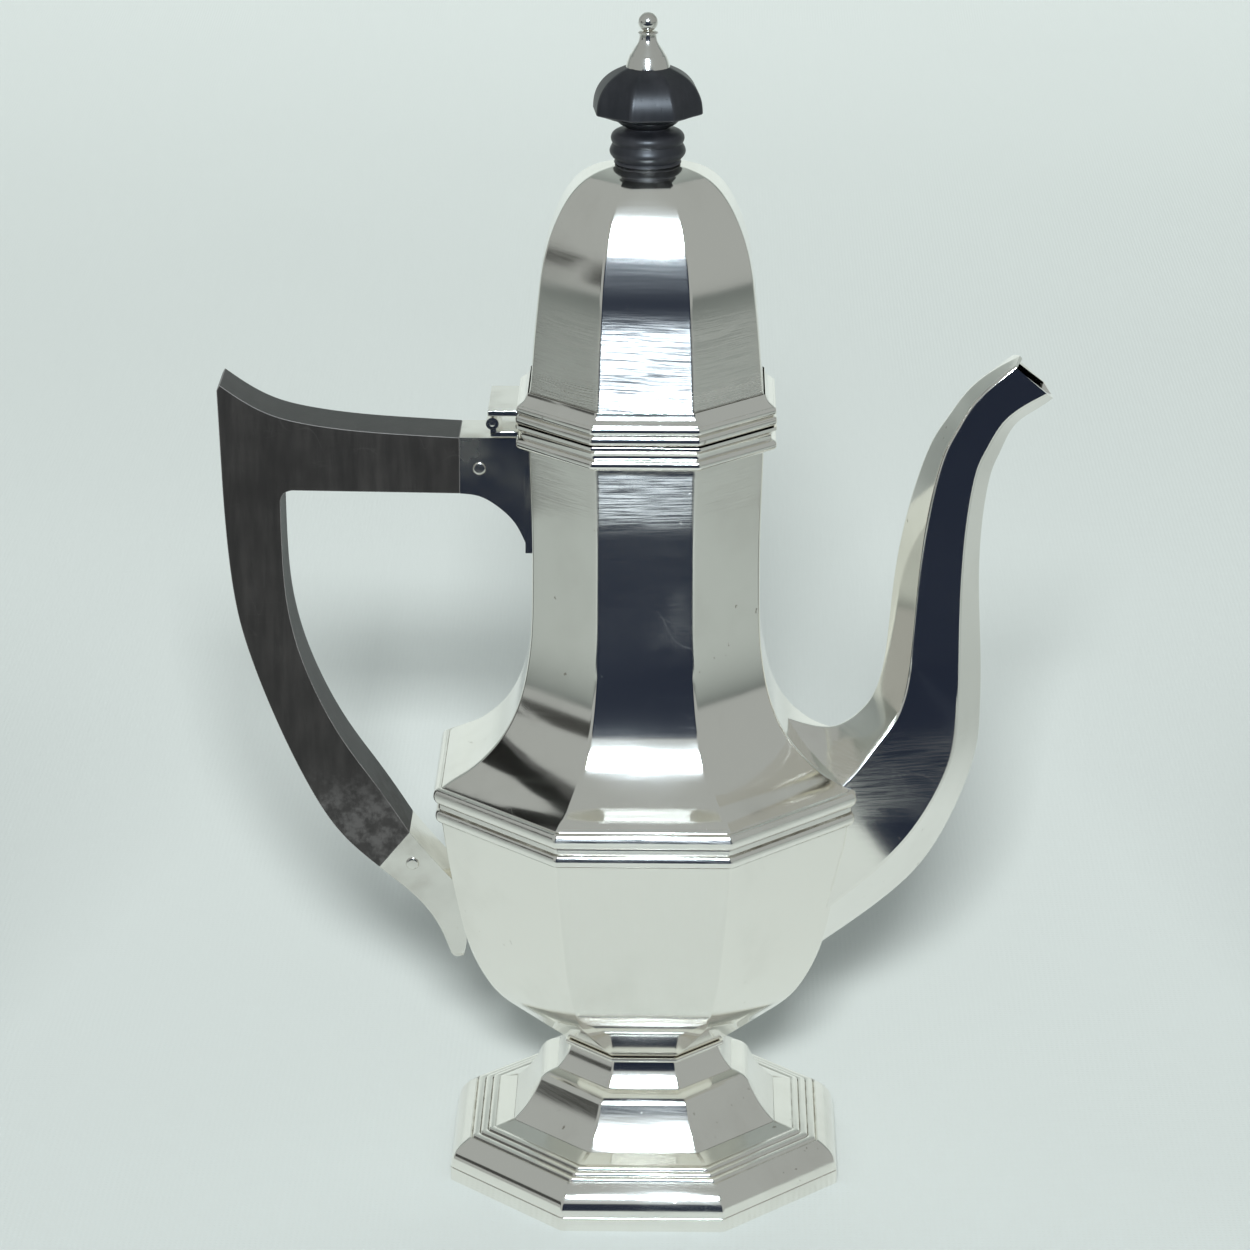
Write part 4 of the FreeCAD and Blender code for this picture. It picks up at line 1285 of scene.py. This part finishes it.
@dataclass
class Studio:
    """A pale sheet that sweeps up behind the pot, soft lamps, reflecting cards and the camera."""

    camera_at: tuple[float, float, float] = (0.01034, -0.9489, 0.4492)
    right: tuple[float, float, float] = (0.99987, 0.01615, 0.00144)
    up: tuple[float, float, float] = (-0.00663, 0.32589, 0.94539)
    lens: float = 135.93
    sensor: float = 36.0
    sheet_line: Line = ((-2.6, 0.0), (1.1, 0.0), (1.5, 0.06), (1.8, 0.28), (1.95, 0.7), (2.0, 1.6), (2.0, 2.6))
    sheet_half: float = 3.0

    def sheet(self) -> None:
        """The floor, swept up into a backdrop."""
        # The third colour is painted shade that darkens the sheet towards its sides and its front.
        finish = ClothFinish("Pale sheet", (0.70, 0.755, 0.73), (0.64, 0.69, 0.67), (0.385, 0.42, 0.405))
        piece = Workpiece("stage.sheet")
        line = eased(self.sheet_line, 0.2, 2.0)
        geometry = piece.outline(line, lambda point: Vector((-self.sheet_half, *point)), False)
        edges = [item for item in geometry if isinstance(item, bmesh.types.BMEdge)]
        made = bmesh.ops.extrude_edge_only(piece.bm, edges=edges)
        moved = [item for item in made["geom"] if isinstance(item, bmesh.types.BMVert)]
        bmesh.ops.translate(piece.bm, verts=moved, vec=(2 * self.sheet_half, 0.0, 0.0))
        for face in piece.bm.faces:
            face.smooth = True
        sheet = bpy.data.objects.new(piece.name, piece.mesh())
        sheet.data.materials.append(finish.material())
        bpy.context.scene.collection.objects.link(sheet)

    def card(self, name: str, at: Triple, towards: Triple, size: Point, colour: Colour,
             strength: float = 1.0) -> None:
        """A card that only shows in reflections.

        Args:
            name: The card's name.
            at: Its middle, in metres.
            towards: The way that it faces.
            size: Its width and height, in metres.
            colour: Its colour.
            strength: How bright it is.
        """
        piece = Workpiece(name)
        turn = Vector(towards).to_track_quat("Z", "Y").to_matrix().to_4x4()
        matrix = Matrix.Translation(at) @ turn @ Matrix.Diagonal((size[0], size[1], 1.0, 1.0))
        bmesh.ops.create_grid(piece.bm, x_segments=1, y_segments=1, size=0.5, matrix=matrix)
        card = bpy.data.objects.new(name, piece.mesh())
        material = bpy.data.materials.new(name)
        material.use_nodes = True
        graph = Graph(material.node_tree)
        glow = graph.add("Emission", {"Color": (*colour, 1.0), "Strength": strength})
        graph.add("OutputMaterial", {0: glow.outputs[0]})
        card.data.materials.append(material)
        for ray in ("camera", "diffuse", "shadow", "transmission"):
            setattr(card, "visible_" + ray, False)
        bpy.context.scene.collection.objects.link(card)

    def lamp(self, name: str, at: Triple, aim: Triple, size: Point, power: float,
             colour: Colour = (1.0, 1.0, 1.0)) -> None:
        """A soft lamp that doesn't show in reflections.

        Args:
            name: The lamp's name.
            at: Where it stands, in metres.
            aim: The point that it shines at.
            size: Its width and height, in metres.
            power: Its power, in watts.
            colour: Its colour.
        """
        light = bpy.data.lights.new(name, "AREA")
        light.shape = "RECTANGLE"
        light.size, light.size_y = size
        light.energy = power
        light.color = colour
        lamp = bpy.data.objects.new(name, light)
        lamp.location = at
        lamp.visible_glossy = False
        lamp.rotation_euler = (Vector(aim) - Vector(at)).to_track_quat("-Z", "Y").to_euler()
        bpy.context.scene.collection.objects.link(lamp)

    def air(self) -> None:
        """The soft light from all round: pale to the eye, and a grey ceiling in reflections."""
        world = bpy.data.worlds.new("Studio air")
        world.use_nodes = True
        bpy.context.scene.world = world
        graph = Graph(world.node_tree)
        path = graph.add("LightPath")
        seen, soft, mirrored = (
            graph.add("Background", {"Color": (*colour, 1.0), "Strength": strength}).outputs[0]
            for colour, strength in (((0.66, 0.70, 0.68), 1.0), ((0.80, 0.85, 0.86), 0.28),
                                     ((0.375, 0.40, 0.395), 1.0)))
        light = graph.add("MixShader", {0: path.outputs["Is Glossy Ray"], 1: soft, 2: mirrored}).outputs[0]
        both = graph.add("MixShader", {0: path.outputs["Is Camera Ray"], 1: light, 2: seen})
        graph.add("OutputWorld", {0: both.outputs[0]})

    def camera(self) -> None:
        """The camera, a little above the pot and a little to its right."""
        data = bpy.data.cameras.new("Camera")
        data.lens = self.lens
        data.sensor_width = self.sensor
        data.clip_start, data.clip_end = 0.05, 20.0
        camera = bpy.data.objects.new("Camera", data)
        right, up = Vector(self.right).normalized(), Vector(self.up)
        back = right.cross(up).normalized()
        up = back.cross(right)
        matrix = Matrix((right, up, back)).transposed().to_4x4()
        matrix.translation = self.camera_at
        camera.matrix_world = matrix
        bpy.context.scene.collection.objects.link(camera)
        bpy.context.scene.camera = camera

    def build(self) -> None:
        """Sets up the studio."""
        self.sheet()
        self.air()
        navy, shade = (0.017, 0.023, 0.040), (0.05, 0.052, 0.05)
        self.card("stage.dark_floor", (0.0, -0.95, 0.002), (0, 0, 1), (1.3, 1.3), navy)
        self.card("stage.dark_wall", (0.0, -1.6, 0.35), (0, 1, 0), (1.8, 0.9), navy)
        self.card("stage.dark_side", (-1.2, -0.215, 0.265), (1, 0, 0), (0.37, 0.19), shade)
        self.card("stage.dark_beam", (-1.2, 0.02, 0.30), (1, 0, 0), (0.08, 0.12), shade)
        self.card("stage.flash", (-0.004, -0.36, 0.4375), (0, 1, 0), (0.08, 0.105), (0.74, 0.87, 1.0), 136.0)
        self.lamp("Key", (0.0, -1.35, 0.82), (0.0, 0.0, 0.10), (0.24, 0.14), 42.0, (0.98, 0.99, 1.0))
        self.lamp("Rear", (0.0, 1.35, 1.0), (0.0, 1.35, 0.0), (2.6, 0.7), 10.0)
        self.camera()
        bpy.context.scene.view_settings.view_transform = "Standard"


def main() -> None:
    """Builds the pot and its studio."""
    logging.basicConfig(level=logging.INFO, format="%(name)s %(message)s")
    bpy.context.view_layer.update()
    finishes = Finishes.mixed()
    vessel = Vessel()
    spout = Spout()
    Foot().build(finishes)
    vessel.build(finishes, spout.solid())
    spout.build(finishes, vessel)
    Handle().build(finishes, vessel)
    Lid().build(finishes)
    Knob().build(finishes)
    Hinge().build(finishes)
    KeptNodes().build(finishes)
    Studio().build()


if __name__ == "__main__":
    main()
